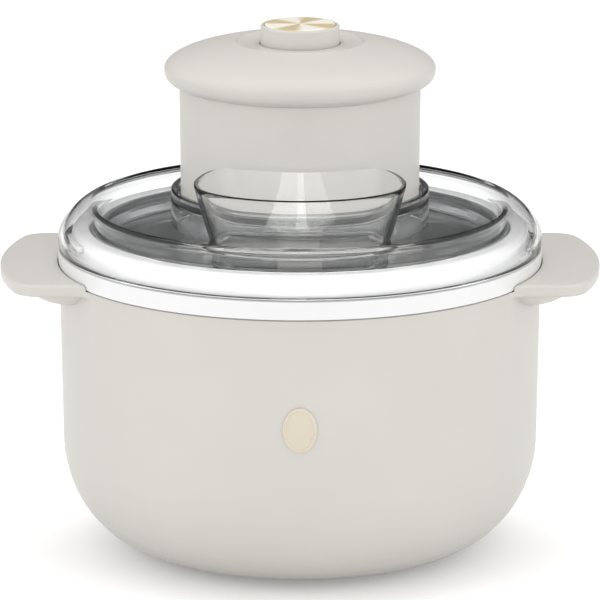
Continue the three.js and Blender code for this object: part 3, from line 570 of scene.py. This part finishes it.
def make_housing():
    """The pot with both ears. Its rim's outer corner is eased, and its floor has holes for the feet."""
    stem_hole = cylinder(3.3, 0, 9)
    rim = [(RIM_RADIUS - 0.02, RIM_Z - 0.8), (RIM_RADIUS - 0.25, RIM_Z - 0.25), (RIM_RADIUS - 0.8, RIM_Z)]
    pot = turned("housing_shell", [
        (0, BASE_Z), *pot_side(0, 28)[:-1], *rim,
        *reversed(pot_side(POT_WALL, 20)), (0, BASE_Z + POT_WALL),
    ])
    holes = [turned("hole", stem_hole, x, y, COARSE) for x, y in centres(*FEET).values()]
    pot = combined(pot, "UNION", ear(1), ear(-1))
    pot = combined(pot, "DIFFERENCE", *holes)
    dress(pot, "housing", "body_plastic", "outer_housing")


def make_feet():
    pad, pad_top, stem, stem_top = 8, 2.2, 3, 7
    outline = eased([(0, 0), (pad, 0, 0.8), (pad, pad_top, 0.5), (stem, pad_top),
                     (stem, stem_top, 0.8), (0, stem_top)])
    for name, (x, y) in centres(*FEET).items():
        dress(turned(name + "_pad", outline, x, y, FINE), "housing", "rubber", name)


def make_badge():
    """An oval badge with a raised border, bent round the pot's front."""
    low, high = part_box("front_badge")
    half, half_height = (high[0] - low[0]) / 2 / MM, (high[2] - low[2]) / 2 / MM
    middle = (high[2] + low[2]) / 2 / MM
    slope = (RIM_RADIUS - WAIST_RADIUS) / (RIM_Z - WAIST_Z)
    steps = 96

    def loop(inset, out):
        points = []
        for k in range(steps):
            a = 2 * math.pi * k / steps
            x = (half - inset) * math.cos(a)
            z = middle + (half_height - inset) * math.sin(a)
            r = WAIST_RADIUS + slope * (z - WAIST_Z) + out
            points.append((x, -math.sqrt(r * r - x * x), z))
        return points

    # Each loop's inset from the badge's edge and its distance from the pot.
    profile = [(0.25, 0.3), (0, 0.45), (0, 0.7), (0.15, 0.88), (0.35, 0.95), (1.2, 0.95), (1.4, 0.88),
               (1.6, 0.66), (2.2, 0.64), (3.6, 0.66), (5.4, 0.68)]
    badge = skinned("badge_oval", [loop(inset, out) for inset, out in profile])
    dress(badge, "housing", "gold_trim", "front_badge", look="gold_plate")


# ---- Freezer bowl ----

def make_rim_ring():
    """The white ring that joins the bowl's walls: skirt, band and neck, with the lid's two tabs."""
    skirt_outer, skirt_inner, skirt_foot = 98.8, 96, 117
    ledge, ledge_foot, throat, throat_z = 92, 125, 86.6, 130.4
    tab_outer, tab_low, tab_high, tab_half = 98.4, 135.8, 137.8, 8
    outline = eased([
        (skirt_outer, skirt_foot, 0.6), (skirt_outer, BAND_LOW), (BAND_RADIUS, BAND_LOW, 0.7),
        (BAND_RADIUS, BAND_HIGH, 0.7), (NECK_RADIUS, BAND_HIGH, 0.5), (NECK_RADIUS, MOUTH_TOP, 3),
        (MOUTH_RADIUS, MOUTH_TOP, 1.2), (MOUTH_RADIUS, FLARE_Z, 0.5), (throat, throat_z, 0.3),
        (ledge, throat_z), (ledge, ledge_foot, 0.3), (skirt_inner, ledge_foot),
        (skirt_inner, skirt_foot, 0.6),
    ], 8)
    tabs = [eased_edges(sector("tab", NECK_RADIUS - 1, tab_outer, tab_low, tab_high, angle, tab_half), 0.3)
            for angle in (13, 193)]
    ring = combined(turned("rim_band", outline), "UNION", *tabs)
    dress(ring, "freezer_bowl", "rim_plastic", "bowl_rim_ring")


def bowl_side(shape, inset, top):
    """A bowl wall's outline from its axis to its mouth at top, moved inwards by inset."""
    foot, mouth, floor, corner = shape
    turn = arc(foot - corner, floor + corner, corner - inset, corner - inset, -90, -4, 12)
    return [(0, floor + inset), *turn, (mouth - inset, top)]


def bowl_wall(shape, thick, top):
    return bowl_side(shape, 0, top) + bowl_side(shape, thick, top)[::-1]


def make_bowl_walls():
    """The lining, the ring in its neck, the jacket with its filler plug, the gasket and the gel."""
    lining = turned("bowl_lining", bowl_wall(LINING, 1.2, 130))
    dress(lining, "freezer_bowl", "bowl_aluminium", "bowl_inner_wall")
    inner, outer, foot, top = 87, 88.2, 130.4, 140
    liner = eased([(84, foot, 0.2), (86.3, foot, 0.2), (outer, FLARE_Z, 1), (outer, top, 0.3),
                   (inner, top, 0.3), (inner, FLARE_Z, 1), (85.4, 131.1, 0.6)])
    dress(turned("neck_lining", liner), "freezer_bowl", "bowl_aluminium", "neck_liner")
    hole = turned("hole", cylinder(4.3, 11, 16), FILLER_X, 0, COARSE)
    jacket = combined(turned("bowl_jacket", bowl_wall(JACKET, 2, 124)), "DIFFERENCE", hole)
    dress(jacket, "freezer_bowl", "rim_plastic", "bowl_outer_wall")
    plug = eased([(0, 10), (6, 10, 0.6), (6, 11.7, 0.4), (4, 11.7), (4, 14, 0.4), (0, 14)])
    dress(turned("filler_plug", plug, FILLER_X, 0, FINE), "freezer_bowl", "rubber", "coolant_plug")
    gasket = washer(86.2, 91.6, 126.4, 130.1, 0.6)
    dress(turned("rim_gasket", gasket), "freezer_bowl", "silicone", "bowl_gasket")
    gel_top = 118
    gel = bowl_side(FILLING, 2.3, gel_top) + bowl_side(LINING, -0.3, gel_top)[::-1]
    dress(turned("gel_fill", gel), "freezer_bowl", "gel", "coolant_fill")


def make_paddle():
    """A hub with a socket for the drive, and two wings with rounded windows."""
    reach, top, bottom, bar, thick = 73.5, 117.0, 34.0, 7.0, 5.0
    head, hub_top, socket, socket_z = 9.5, 138, 7.5, 118.5
    middle = (top + bottom) / 2

    def plate(name, corners, depth):
        outline = eased(corners, 8)
        return skinned(name, [[(x, y, z) for x, z in outline] for y in (-depth, depth)])

    def wing(side):
        taper, window_x, half_rib = 1.5, 12, 2.5
        body = plate("wing", [(side * x, z, r) for x, z, r in (
            (0, bottom, 0), (reach - taper, bottom, 13), (reach, top, 15), (0, top, 0))], thick / 2)
        windows = [plate("window", [(side * x, z, 3) for x, z in (
            (window_x, low), (reach - bar, low), (reach - bar, high), (window_x, high))], thick)
            for low, high in ((bottom + bar, middle - half_rib), (middle + half_rib, top - bar))]
        return eased_edges(combined(body, "DIFFERENCE", *windows), 1.2, 50, 4)

    hub = turned("paddle_frame", eased([
        (0, 29.6), (3, 29.6, 1.2), (3, 33), (6, 34, 0.6), (7, 104.5, 8), (head, 116.5, 8),
        (head, hub_top, 0.6), (socket, hub_top, 0.5), (socket, socket_z), (0, socket_z),
    ]), facets=FINE)
    bore = turned("socket", cylinder(socket, socket_z, hub_top + 1), facets=FINE)
    wings = combined(wing(1), "UNION", wing(-1))
    wings = combined(wings, "DIFFERENCE", bore)
    dogs = [sector("dog", 4.4, 8.5, socket_z - 1, 133, angle, 40) for angle in (90, 270)]
    whole = combined(hub, "UNION", wings, *dogs)
    dress(whole, "paddle", "paddle_plastic", "mixing_paddle")


# ---- Lid ----

def shoulder(inset, steps):
    """The lid's rounded shoulder from its side to its crest, as a superellipse."""
    across, rise = BAND_RADIUS - LID_CREST - inset, LID_TOP - LID_RISE - inset
    power = 2 / SHOULDER_POWER
    points = []
    for i in range(steps + 1):
        a = math.pi / 2 * i / steps
        points.append((LID_CREST + across * max(0.0, math.cos(a)) ** power,
                       LID_RISE + rise * math.sin(a) ** power))
    return points


def make_lid():
    """The clear lid: shoulder, recess, hollow turret, chute, lugs and the bore for the drive."""
    inside = BAND_RADIUS - LID_WALL
    hollow_radius, hollow_top = TURRET_OUTER - TURRET_WALL, TURRET_SEAT - TURRET_WALL
    turret_foot, hollow_foot, beyond, edge = LID_FLOOR - 1, LID_FLOOR - 10, 5, 0.3

    def foot(out):
        radius = RECESS_FILLET + out
        return arc(RECESS_RADIUS - RECESS_FILLET, RECESS_FOOT, radius, radius, -90, 0, 8)

    def crown(inset):
        across, rise = LID_CREST - RECESS_RADIUS - inset, LID_TOP - RECESS_CREST - inset
        return arc(LID_CREST, RECESS_CREST, across, rise, 180, 90, 14)

    shell = turned("shell", [
        (0, LID_FLOOR - LID_WALL), *foot(LID_WALL), *crown(LID_WALL), *shoulder(LID_WALL, 24)[::-1][1:],
        (inside, LID_LOW + 0.3), (inside + 0.3, LID_LOW), (BAND_RADIUS - 0.6, LID_LOW),
        (BAND_RADIUS, LID_LOW + 0.6), *shoulder(0, 30)[:-1], *crown(0)[::-1], *foot(0)[::-1], (0, LID_FLOOR),
    ])
    turret = turned("turret", eased([
        (0, turret_foot), (TURRET_OUTER, turret_foot), (TURRET_OUTER, TURRET_TOP, 0.9),
        (TURRET_LIP, TURRET_TOP, 0.6), (TURRET_LIP, TURRET_SEAT, 0.5), (0, TURRET_SEAT),
    ], 6), 0, SETBACK)
    hollow = turned("hollow", eased([
        (0, hollow_foot), (hollow_radius, hollow_foot), (hollow_radius, hollow_top, 1.5), (0, hollow_top),
    ], 6), 0, SETBACK)
    chute = skinned("chute", [closed_curve(LIP_OUTLINE, z, inset) for inset, z in (
        (CHUTE_INSET + edge, CHUTE_LOW), (CHUTE_INSET, CHUTE_LOW + edge),
        (CHUTE_INSET, CHUTE_HIGH - edge), (CHUTE_INSET + edge, CHUTE_HIGH))])
    passage = skinned("passage", [closed_curve(LIP_OUTLINE, z, CHUTE_INSET + CHUTE_WALL)
                                  for z in (CHUTE_LOW - beyond, CHUTE_HIGH + beyond)])
    bore = turned("bore", cylinder(13.2, LID_FLOOR, TURRET_TOP), facets=FINE)
    lugs = [sector("lug", 97.4, 101.6, 132.4, 135.2, angle, 8) for angle in (-5, 175)]
    lid = combined(shell, "UNION", turret)
    lid = combined(lid, "DIFFERENCE", hollow)
    lid = combined(lid, "UNION", chute, *lugs)
    lid = combined(lid, "DIFFERENCE", passage, bore)
    lid.name = "lid_clear"
    dress(lid, "lid", "clear_plastic", "lid_cover")


def make_seal():
    dress(turned("lid_gasket", washer(98.7, 100, 131.4, 132.1, 0.2)), "lid_seal", "rubber", "lid_seal_ring")


def make_cup():
    """The flared cup, with a plug skirt, a rounded lip and a rolled rim."""
    bulge = 0.8              # how far the flare's wall curves inwards near its foot
    outer = CHUTE_INSET + CHUTE_WALL + 0.5
    inner = outer + CUP_WALL

    def flare(t, inset, lift=0.0):
        half = [(a[0] + (b[0] - a[0]) * t, a[1] + (b[1] - a[1]) * t)
                for a, b in zip(LIP_OUTLINE, RIM_OUTLINE)]
        return closed_curve(half, CUP_FLOOR + (CUP_RIM - CUP_FLOOR) * t + lift, inset)

    # The plug skirt from its inside round its foot, then the lip that rests on the chute.
    loops = [closed_curve(LIP_OUTLINE, z, inset) for inset, z in (
        (inner + 0.4, CUP_LIP - 0.1), (inner, CUP_LIP - 0.5), (inner, CUP_SKIRT + 0.3),
        (inner - 0.3, CUP_SKIRT), (outer + 0.3, CUP_SKIRT), (outer, CUP_SKIRT + 0.3), (outer, CUP_LIP),
        (0.5, CUP_LIP), (0.12, CUP_LIP + 0.15), (0, CUP_LIP + 0.6), (0.1, CUP_LIP + 1.2),
        (0.45, CUP_LIP + 1.6))]
    # The flare: up its outside, over the rolled rim, down its inside and in to the floor.
    loops.append(flare(0.01, 0.8, 0.2))
    loops += [flare(t, bulge * (1 - t) ** 2) for t in (0.08, 0.2, 0.35, 0.5, 0.65, 0.8, 0.9, 0.96)]
    loops += [flare(1, inset, lift) for inset, lift in (
        (0.05, -0.5), (0.25, -0.12), (0.6, 0), (1.2, 0), (1.55, -0.12), (CUP_WALL - 0.05, -0.5))]
    loops += [flare(t, CUP_WALL + bulge * (1 - t) ** 2) for t in (0.96, 0.9, 0.8, 0.65, 0.5, 0.35, 0.2, 0.1)]
    loops += [flare(t, CUP_WALL + inset, lift) for t, inset, lift in (
        (0.05, 0.9, -0.5), (0.02, 1.3, -0.35), (0, 2.4, 0))]
    dress(skinned("cup_clear", loops), "cup", "clear_plastic", "chute_cup", look="clear_cup")


# ---- Motor unit ----

def lay_back(piece, y):
    """Lays a piece turned about the Z axis along Y at the gland's height, its origin at y."""
    place = Matrix.Translation(Vector((0, y, GLAND_Z)) * MM)
    piece.data.transform(place @ Matrix.Rotation(-math.pi / 2, 4, "X"))


def make_unit_shell():
    outline = eased([(UNIT_INNER, UNIT_LOW), (UNIT_FOOT, UNIT_LOW, 0.8), (UNIT_HEAD, UNIT_HIGH, 0.3),
                     (UNIT_INNER, UNIT_HIGH)])
    hole = turned("hole", cylinder(6.3, 0, 20), facets=48)
    lay_back(hole, SETBACK + UNIT_INNER - 10)
    shell = combined(turned("unit_shell", outline, 0, SETBACK), "DIFFERENCE", hole)
    dress(shell, "motor_unit", "body_plastic", "motor_housing")


def dome(inset, start, end, steps):
    """The cap's elliptical section between two radii of its outer face, moved inwards by inset."""
    first, last = math.acos(start / CAP_RADIUS), math.acos(end / CAP_RADIUS)
    angles = [first + (last - first) * i / steps for i in range(steps + 1)]
    return [((CAP_RADIUS - inset) * math.cos(a), CAP_Z + (CAP_RISE - inset) * math.sin(a)) for a in angles]


def make_cap():
    """The domed cap with the button's well and hole, its spigot, and two screw bosses."""
    spigot, spigot_z = UNIT_INNER - 0.4, 192
    well, well_z, hole = 27.0, 215.4, 17.2
    step_z = CAP_Z + CAP_RISE * math.sqrt(1 - (well / CAP_RADIUS) ** 2)
    shell = turned("unit_cap", [
        (hole, well_z - 3), *dome(CAP_WALL, 19, 56, 20), (54.3, CAP_Z - 2), (spigot - 2, 201),
        (spigot - 2, spigot_z + 0.4), (spigot - 1.6, spigot_z), (spigot - 0.4, spigot_z),
        (spigot, spigot_z + 0.4), (spigot, CAP_LIP_Z - 0.9), (CAP_LIP - 1, CAP_LIP_Z - 0.9),
        *arc(CAP_LIP, CAP_Z, CAP_RADIUS - CAP_LIP, CAP_Z - CAP_LIP_Z, -90, 0, 12),
        *dome(0, CAP_RADIUS, well + 0.9, 40)[1:], (well + 0.45, step_z + 0.02),
        (well + 0.15, step_z - 0.12), (well - 0.25, well_z + 0.15), (well - 0.7, well_z),
        (hole + 0.5, well_z), (hole + 0.12, well_z - 0.15), (hole, well_z - 0.5),
    ], 0, SETBACK)
    boss, boss_bore, boss_x = 4, 1.8, 30
    bosses = [turned("boss", cylinder(boss, 198.9, 214.6, boss_bore), side * boss_x, SETBACK, COARSE)
              for side in (-1, 1)]
    dress(combined(shell, "UNION", *bosses), "motor_unit", "body_plastic", "motor_cap")


def make_button():
    """The power button with its flange, and the disc in its top."""
    flange, flange_z, side, low, top, bore, web = 19, 207.5, 16.8, 206, 223.4, 14.6, 219.4
    disc, recess, recess_z, disc_z = 15.1, 15.4, 222.3, 222.6
    outline = eased([(bore, low), (flange, low, 0.4), (flange, flange_z, 0.4), (side, flange_z),
                     (side, top, 1.1), (recess, top, 0.25), (recess, recess_z), (0, recess_z), (0, web),
                     (bore, web)], 8)
    dress(turned("button_cap", outline, 0, SETBACK, BUTTON_ROUND), "button", "body_plastic", "power_button")
    face = eased([(0, disc_z), (disc, disc_z), (disc, disc_z + 1, 0.45), (0, disc_z + 1)], 8)
    dress(turned("button_face", face, 0, SETBACK, BUTTON_ROUND), "button", "gold_trim", "button_disc")


def make_spring():
    """The button's wire spring."""
    coil, wire, low, high, turns, travel = 9.0, 0.5, 200.0, 217.0, 4, 3.0
    steps, sides = 40, 12    # along each turn and round the wire
    pitch = (high - low - 4 * wire) / (2 * math.pi * turns)
    loops = []
    for i in range(turns * steps + 1):
        a = 2 * math.pi * i / steps
        out = Vector((math.cos(a), math.sin(a), 0))
        up = Vector((-coil * math.sin(a), coil * math.cos(a), pitch)).normalized().cross(out)
        middle = out * coil + Vector((0, SETBACK, low + 2 * wire + pitch * a))
        loops.append([tuple(middle + wire * (out * math.cos(t) + up * math.sin(t)))
                      for t in (2 * math.pi * k / sides for k in range(sides))])
    spring = dress(skinned("press_spring", loops), "button", "steel", "button_spring")
    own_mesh(spring)


def make_gearbox_base():
    """The unit's floor, its nose and the posts that carry the gearbox plate."""
    floor_radius, floor_top, nose_radius, nose_low, nose_top = 48.2, 153.5, 12, 141, 154.3
    post, post_low, post_top = 4, 151.5, 166.7
    floor = turned("unit_floor", eased([(0, UNIT_LOW), (floor_radius, UNIT_LOW, 0.5),
                                        (floor_radius, floor_top, 0.5), (0, floor_top)]), 0, SETBACK)
    nose = turned("nose", eased([(0, nose_low), (nose_radius, nose_low, 1), (nose_radius, nose_top, 0.4),
                                 (0, nose_top)]), facets=UNIT_ROUND)
    x, y = centres("idler_pin")["idler_pin"]
    extras = [turned("boss", cylinder(post, post_low, 154), x, y, COARSE)]
    holes = [turned("bore", cylinder(7.3, 140, 160), facets=FINE),
             turned("bore", cylinder(2.2, 151.7, 160), x, y, COARSE)]
    for x, y in centres(*GEARBOX_SCREWS).values():
        outline = eased([(0, post_low), (post, post_low), (post, post_top, 0.4), (0, post_top)])
        extras.append(turned("post", outline, x, y, COARSE))
        holes.append(turned("bore", cylinder(1.8, 156, 170), x, y, 24))
    whole = combined(combined(floor, "UNION", nose, *extras), "DIFFERENCE", *holes)
    dress(whole, "motor_unit", "body_plastic", "gearbox_base")


def make_screw(name, x, y, seat, up, tip):
    """A pan-head screw with a cross recess. Its head points up, or down if up is -1."""
    head, head_high, shank, taper = 3.1, 2, 1.5, 1.2
    profile = [(0, seat + up * head_high), (head, seat + up * head_high, 1), (head, seat), (shank, seat),
               (shank, tip + up * taper), (0.2, tip), (0, tip)]
    screw = turned(name + "_turned", eased(profile), x, y, COARSE)
    low, high = sorted((seat + up * 1.1, seat + up * 3))
    slots = [block("slot", (x - a, y - b, low), (x + a, y + b, high), 0.05)
             for a, b in ((1.7, 0.35), (0.35, 1.7))]
    dress(combined(screw, "DIFFERENCE", *slots), "motor_unit", "steel", name)


def make_screws():
    for name, (x, y) in centres(*GEARBOX_SCREWS).items():
        make_screw(name, x, y, 169.5, 1, 157)
    for name, (x, y) in centres(*CARRIER_SCREWS).items():
        make_screw(name, x, y, 196.3, -1, 207)


def make_motor():
    """The motor's can and end cap, and the armature, commutator and shaft that turn in them."""
    radius, inner, hole, shaft = 25, 23.4, 4, 1.6
    can_low, can_floor, can_top, end_low, end_top = 169.6, 171.2, 190, 190.3, 193
    bore, core_radius, core_low, core_top = 1.8, 17.2, 173.5, 184
    can = eased([(hole, can_low, 0.3), (radius, can_low, 1.2), (radius, can_top), (inner, can_top),
                 (inner, can_floor, 0.8), (hole, can_floor, 0.3)])
    dress(turned("can_shell", can, 0, MOTOR_Y, UNIT_ROUND), "motor_unit", "steel", "motor_can")
    end = eased([(1.9, end_low), (radius, end_low), (radius, end_top, 1), (8, end_top, 0.3),
                 (8, end_top - 1), (1.9, end_top - 1)])
    dress(turned("can_end", end, 0, MOTOR_Y, UNIT_ROUND), "motor_unit", "black_plastic", "motor_end_cap")
    core = eased([(bore, core_low), (core_radius, core_low, 0.3), (core_radius, core_top, 0.3),
                  (bore, core_top)])
    rotor = turned("armature_core", core, 0, MOTOR_Y, UNIT_ROUND)
    cutters, count = [], 10
    for i in range(count):
        cutter = block("slot", (14, -0.8, 170), (18, 0.8, 187), 0.1)
        turn = Matrix.Rotation(2 * math.pi * i / count, 4, "Z")
        cutter.data.transform(Matrix.Translation((0, MOTOR_Y * MM, 0)) @ turn)
        cutters.append(cutter)
    dress(combined(rotor, "DIFFERENCE", *cutters), "rotor", "steel", "armature")
    ring = eased([(bore, 184.4), (5, 184.4, 0.3), (5, 188.6, 0.3), (bore, 188.6)])
    dress(turned("commutator_ring", ring, 0, MOTOR_Y, FINE), "rotor", "brass", "commutator")
    rod = eased([(0, 161), (shaft, 161, 0.3), (shaft, 195, 0.3), (0, 195)])
    dress(turned("rotor_rod", rod, 0, MOTOR_Y, COARSE), "rotor", "steel", "rotor_shaft")


def make_drive():
    """The output shaft with its flat tang, its bush, seal and clip, and the idler's pin."""
    shaft, low, top, half_wide, half_thick = 4, 134, 168.8, 6.8, 1.5
    rod = turned("output_rod", eased([(0, low), (shaft, low), (shaft, top, 0.5), (0, top)]), facets=FINE)
    tang = block("tang", (-half_wide, -half_thick, 119), (half_wide, half_thick, low + 2), 0.4)
    dress(combined(rod, "UNION", tang), "drive", "steel", "drive_shaft")
    clip = eased([(4.2, 160.6), (6.3, 160.6, 0.2), (6.3, 161.5, 0.2), (4.2, 161.5)])
    dress(turned("shaft_ring", clip, facets=FINE), "drive", "steel", "shaft_clip")
    bush = washer(4.3, 7, 143.2, 154.2, 0.3)
    dress(turned("bush_sleeve", bush, facets=FINE), "motor_unit", "brass", "output_bush")
    seal = eased([(4.2, 141.2, 0.3), (7, 141.2, 0.2), (7, 142.9, 0.2), (4.2, 142.9, 0.3)])
    dress(turned("shaft_seal_ring", seal, facets=FINE), "motor_unit", "rubber", "shaft_seal")
    x, y = centres("idler_pin")["idler_pin"]
    pin = eased([(0, 152), (2, 152, 0.3), (2, 169.2, 0.3), (0, 169.2)])
    dress(turned("idler_axle", pin, x, y, COARSE), "motor_unit", "steel", "idler_pin")


def make_gland():
    """The cord gland at the unit's back: a flange inside the wall, one outside, and a tail."""
    inner, outer, tail = SETBACK + UNIT_INNER, SETBACK + UNIT_HEAD, 84
    bore, neck, clamp, flange = 3, 5.8, 7.2, 8
    outline = eased([
        (bore, inner - 3), (clamp, inner - 3, 0.4), (clamp, inner - 1.4), (neck, inner - 1.4),
        (neck, outer + 1), (flange, outer + 1, 0.4), (flange, outer + 3, 0.8), (5.4, outer + 4, 0.5),
        (4.6, tail, 0.6), (bore, tail, 0.3),
    ])
    gland = turned("lead_gland", outline, facets=FINE)
    lay_back(gland, 0)
    dress(gland, "motor_unit", "black_plastic", "cord_gland")


def dress_cad_nodes():
    """The CAD nodes that stay visible get their materials and eased edges."""
    slots = {part["node"]: part["material_slot"] for part in frame["record"]["subparts"]}
    for name, node in frame["nodes"].items():
        if node.hide_render:
            continue
        node.data.materials.clear()
        node.data.materials.append(MATERIALS[slots[name]])
        add_bevel(node, 0.12, 40, 2)


# ---- Studio ----

def make_floor():
    """A nearly white floor that glows a little. It throws less light back than it shows."""
    size, level, glow, grey = 3.0, -0.2 * MM, 0.2, 0.82
    corners = [(-size, -size, level), (size, -size, level), (size, size, level), (-size, size, level)]
    mesh = bpy.data.meshes.new("studio_floor")
    mesh.from_pydata(corners, [], [(0, 1, 2, 3)])
    floor = bpy.data.objects.new("studio_floor", mesh)
    bpy.context.scene.collection.objects.link(floor)
    material, nodes, links, shader = new_material("studio_floor")
    white = ramp(nodes, links, noise(nodes, links, 2), (0.93, 0.93, 0.93), (0.95, 0.95, 0.95))
    links.new(white, shader.inputs["Base Color"])
    shader.inputs["Roughness"].default_value = 0.9
    shader.inputs["Emission Color"].default_value = (1, 1, 1, 1)
    shader.inputs["Emission Strength"].default_value = glow
    dull = nodes.new("ShaderNodeBsdfDiffuse")
    dull.inputs["Color"].default_value = (grey, grey, grey, 1)
    path = nodes.new("ShaderNodeLightPath")
    mix = nodes.new("ShaderNodeMixShader")
    links.new(path.outputs["Is Diffuse Ray"], mix.inputs["Fac"])
    links.new(shader.outputs["BSDF"], mix.inputs[1])
    links.new(dull.outputs["BSDF"], mix.inputs[2])
    links.new(mix.outputs["Shader"], nodes["Material Output"].inputs["Surface"])
    mesh.materials.append(material)


def make_world():
    """White to the eye and even for soft light. Gloss and glass see a darker room overhead and
    behind, so that their edges have something to show."""
    dark_side = (0, 0.93, 0.37)
    bright, dark = (0.4, 0.95), (0.85, 0.06)    # place along the way to the dark side, and tone
    world = bpy.data.worlds.new("studio")
    bpy.context.scene.world = world
    world.use_nodes = True
    nodes, links = world.node_tree.nodes, world.node_tree.links
    plain = nodes["Background"]
    plain.inputs["Color"].default_value = (1, 1, 1, 1)
    soft = nodes.new("ShaderNodeBackground")
    soft.inputs["Color"].default_value = (1, 1, 1, 1)
    soft.inputs["Strength"].default_value = SOFT_LIGHT
    coords = nodes.new("ShaderNodeTexCoord")
    toward = nodes.new("ShaderNodeVectorMath")
    toward.operation = "DOT_PRODUCT"
    toward.inputs[1].default_value = dark_side
    links.new(coords.outputs["Generated"], toward.inputs[0])
    tone = nodes.new("ShaderNodeValToRGB")
    tone.color_ramp.interpolation = "EASE"
    for element, (place, value) in zip(tone.color_ramp.elements, (bright, dark)):
        element.position = place
        element.color = (value, value, value, 1)
    links.new(toward.outputs["Value"], tone.inputs["Fac"])
    room = nodes.new("ShaderNodeBackground")
    links.new(tone.outputs["Color"], room.inputs["Color"])
    path = nodes.new("ShaderNodeLightPath")
    softened = nodes.new("ShaderNodeMixShader")
    links.new(path.outputs["Is Diffuse Ray"], softened.inputs["Fac"])
    links.new(room.outputs["Background"], softened.inputs[1])
    links.new(soft.outputs["Background"], softened.inputs[2])
    mix = nodes.new("ShaderNodeMixShader")
    links.new(path.outputs["Is Camera Ray"], mix.inputs["Fac"])
    links.new(softened.outputs["Shader"], mix.inputs[1])
    links.new(plain.outputs["Background"], mix.inputs[2])
    links.new(mix.outputs["Shader"], nodes["World Output"].inputs["Surface"])


def make_lamp(name, place, target, width, height, power):
    """A rectangular lamp that doesn't show in reflections."""
    light = bpy.data.lights.new(name, "AREA")
    light.shape = "RECTANGLE"
    light.size, light.size_y = width, height
    light.energy = power
    lamp = bpy.data.objects.new(name, light)
    lamp.location = place
    lamp.visible_glossy = False
    lamp.rotation_euler = (Vector(target) - Vector(place)).to_track_quat("-Z", "Y").to_euler()
    bpy.context.scene.collection.objects.link(lamp)


def make_camera():
    """Seen from 2.5 m away, a little above: long lens, no shift."""
    distance, elevation, aim = 2.5, math.radians(13.7), Vector((0, 0, 0.1072))
    camera = bpy.data.cameras.new("camera")
    camera.sensor_width = 36
    camera.lens = 352.5
    camera.clip_end = 20
    eye = bpy.data.objects.new("camera", camera)
    back = Vector((0, -math.cos(elevation), math.sin(elevation)))
    eye.location = aim + back * distance
    eye.rotation_euler = (-back).to_track_quat("-Z", "Y").to_euler()
    bpy.context.scene.collection.objects.link(eye)
    bpy.context.scene.camera = eye


def make_studio():
    bpy.context.scene.view_settings.view_transform = "Standard"
    make_floor()
    make_world()
    for name, lamp in LAMPS.items():
        make_lamp(name, *lamp)
    make_camera()


make_housing()
make_feet()
make_badge()
make_rim_ring()
make_bowl_walls()
make_paddle()
make_lid()
make_seal()
make_cup()
make_unit_shell()
make_cap()
make_button()
make_spring()
make_gearbox_base()
make_screws()
make_motor()
make_drive()
make_gland()
dress_cad_nodes()
make_studio()
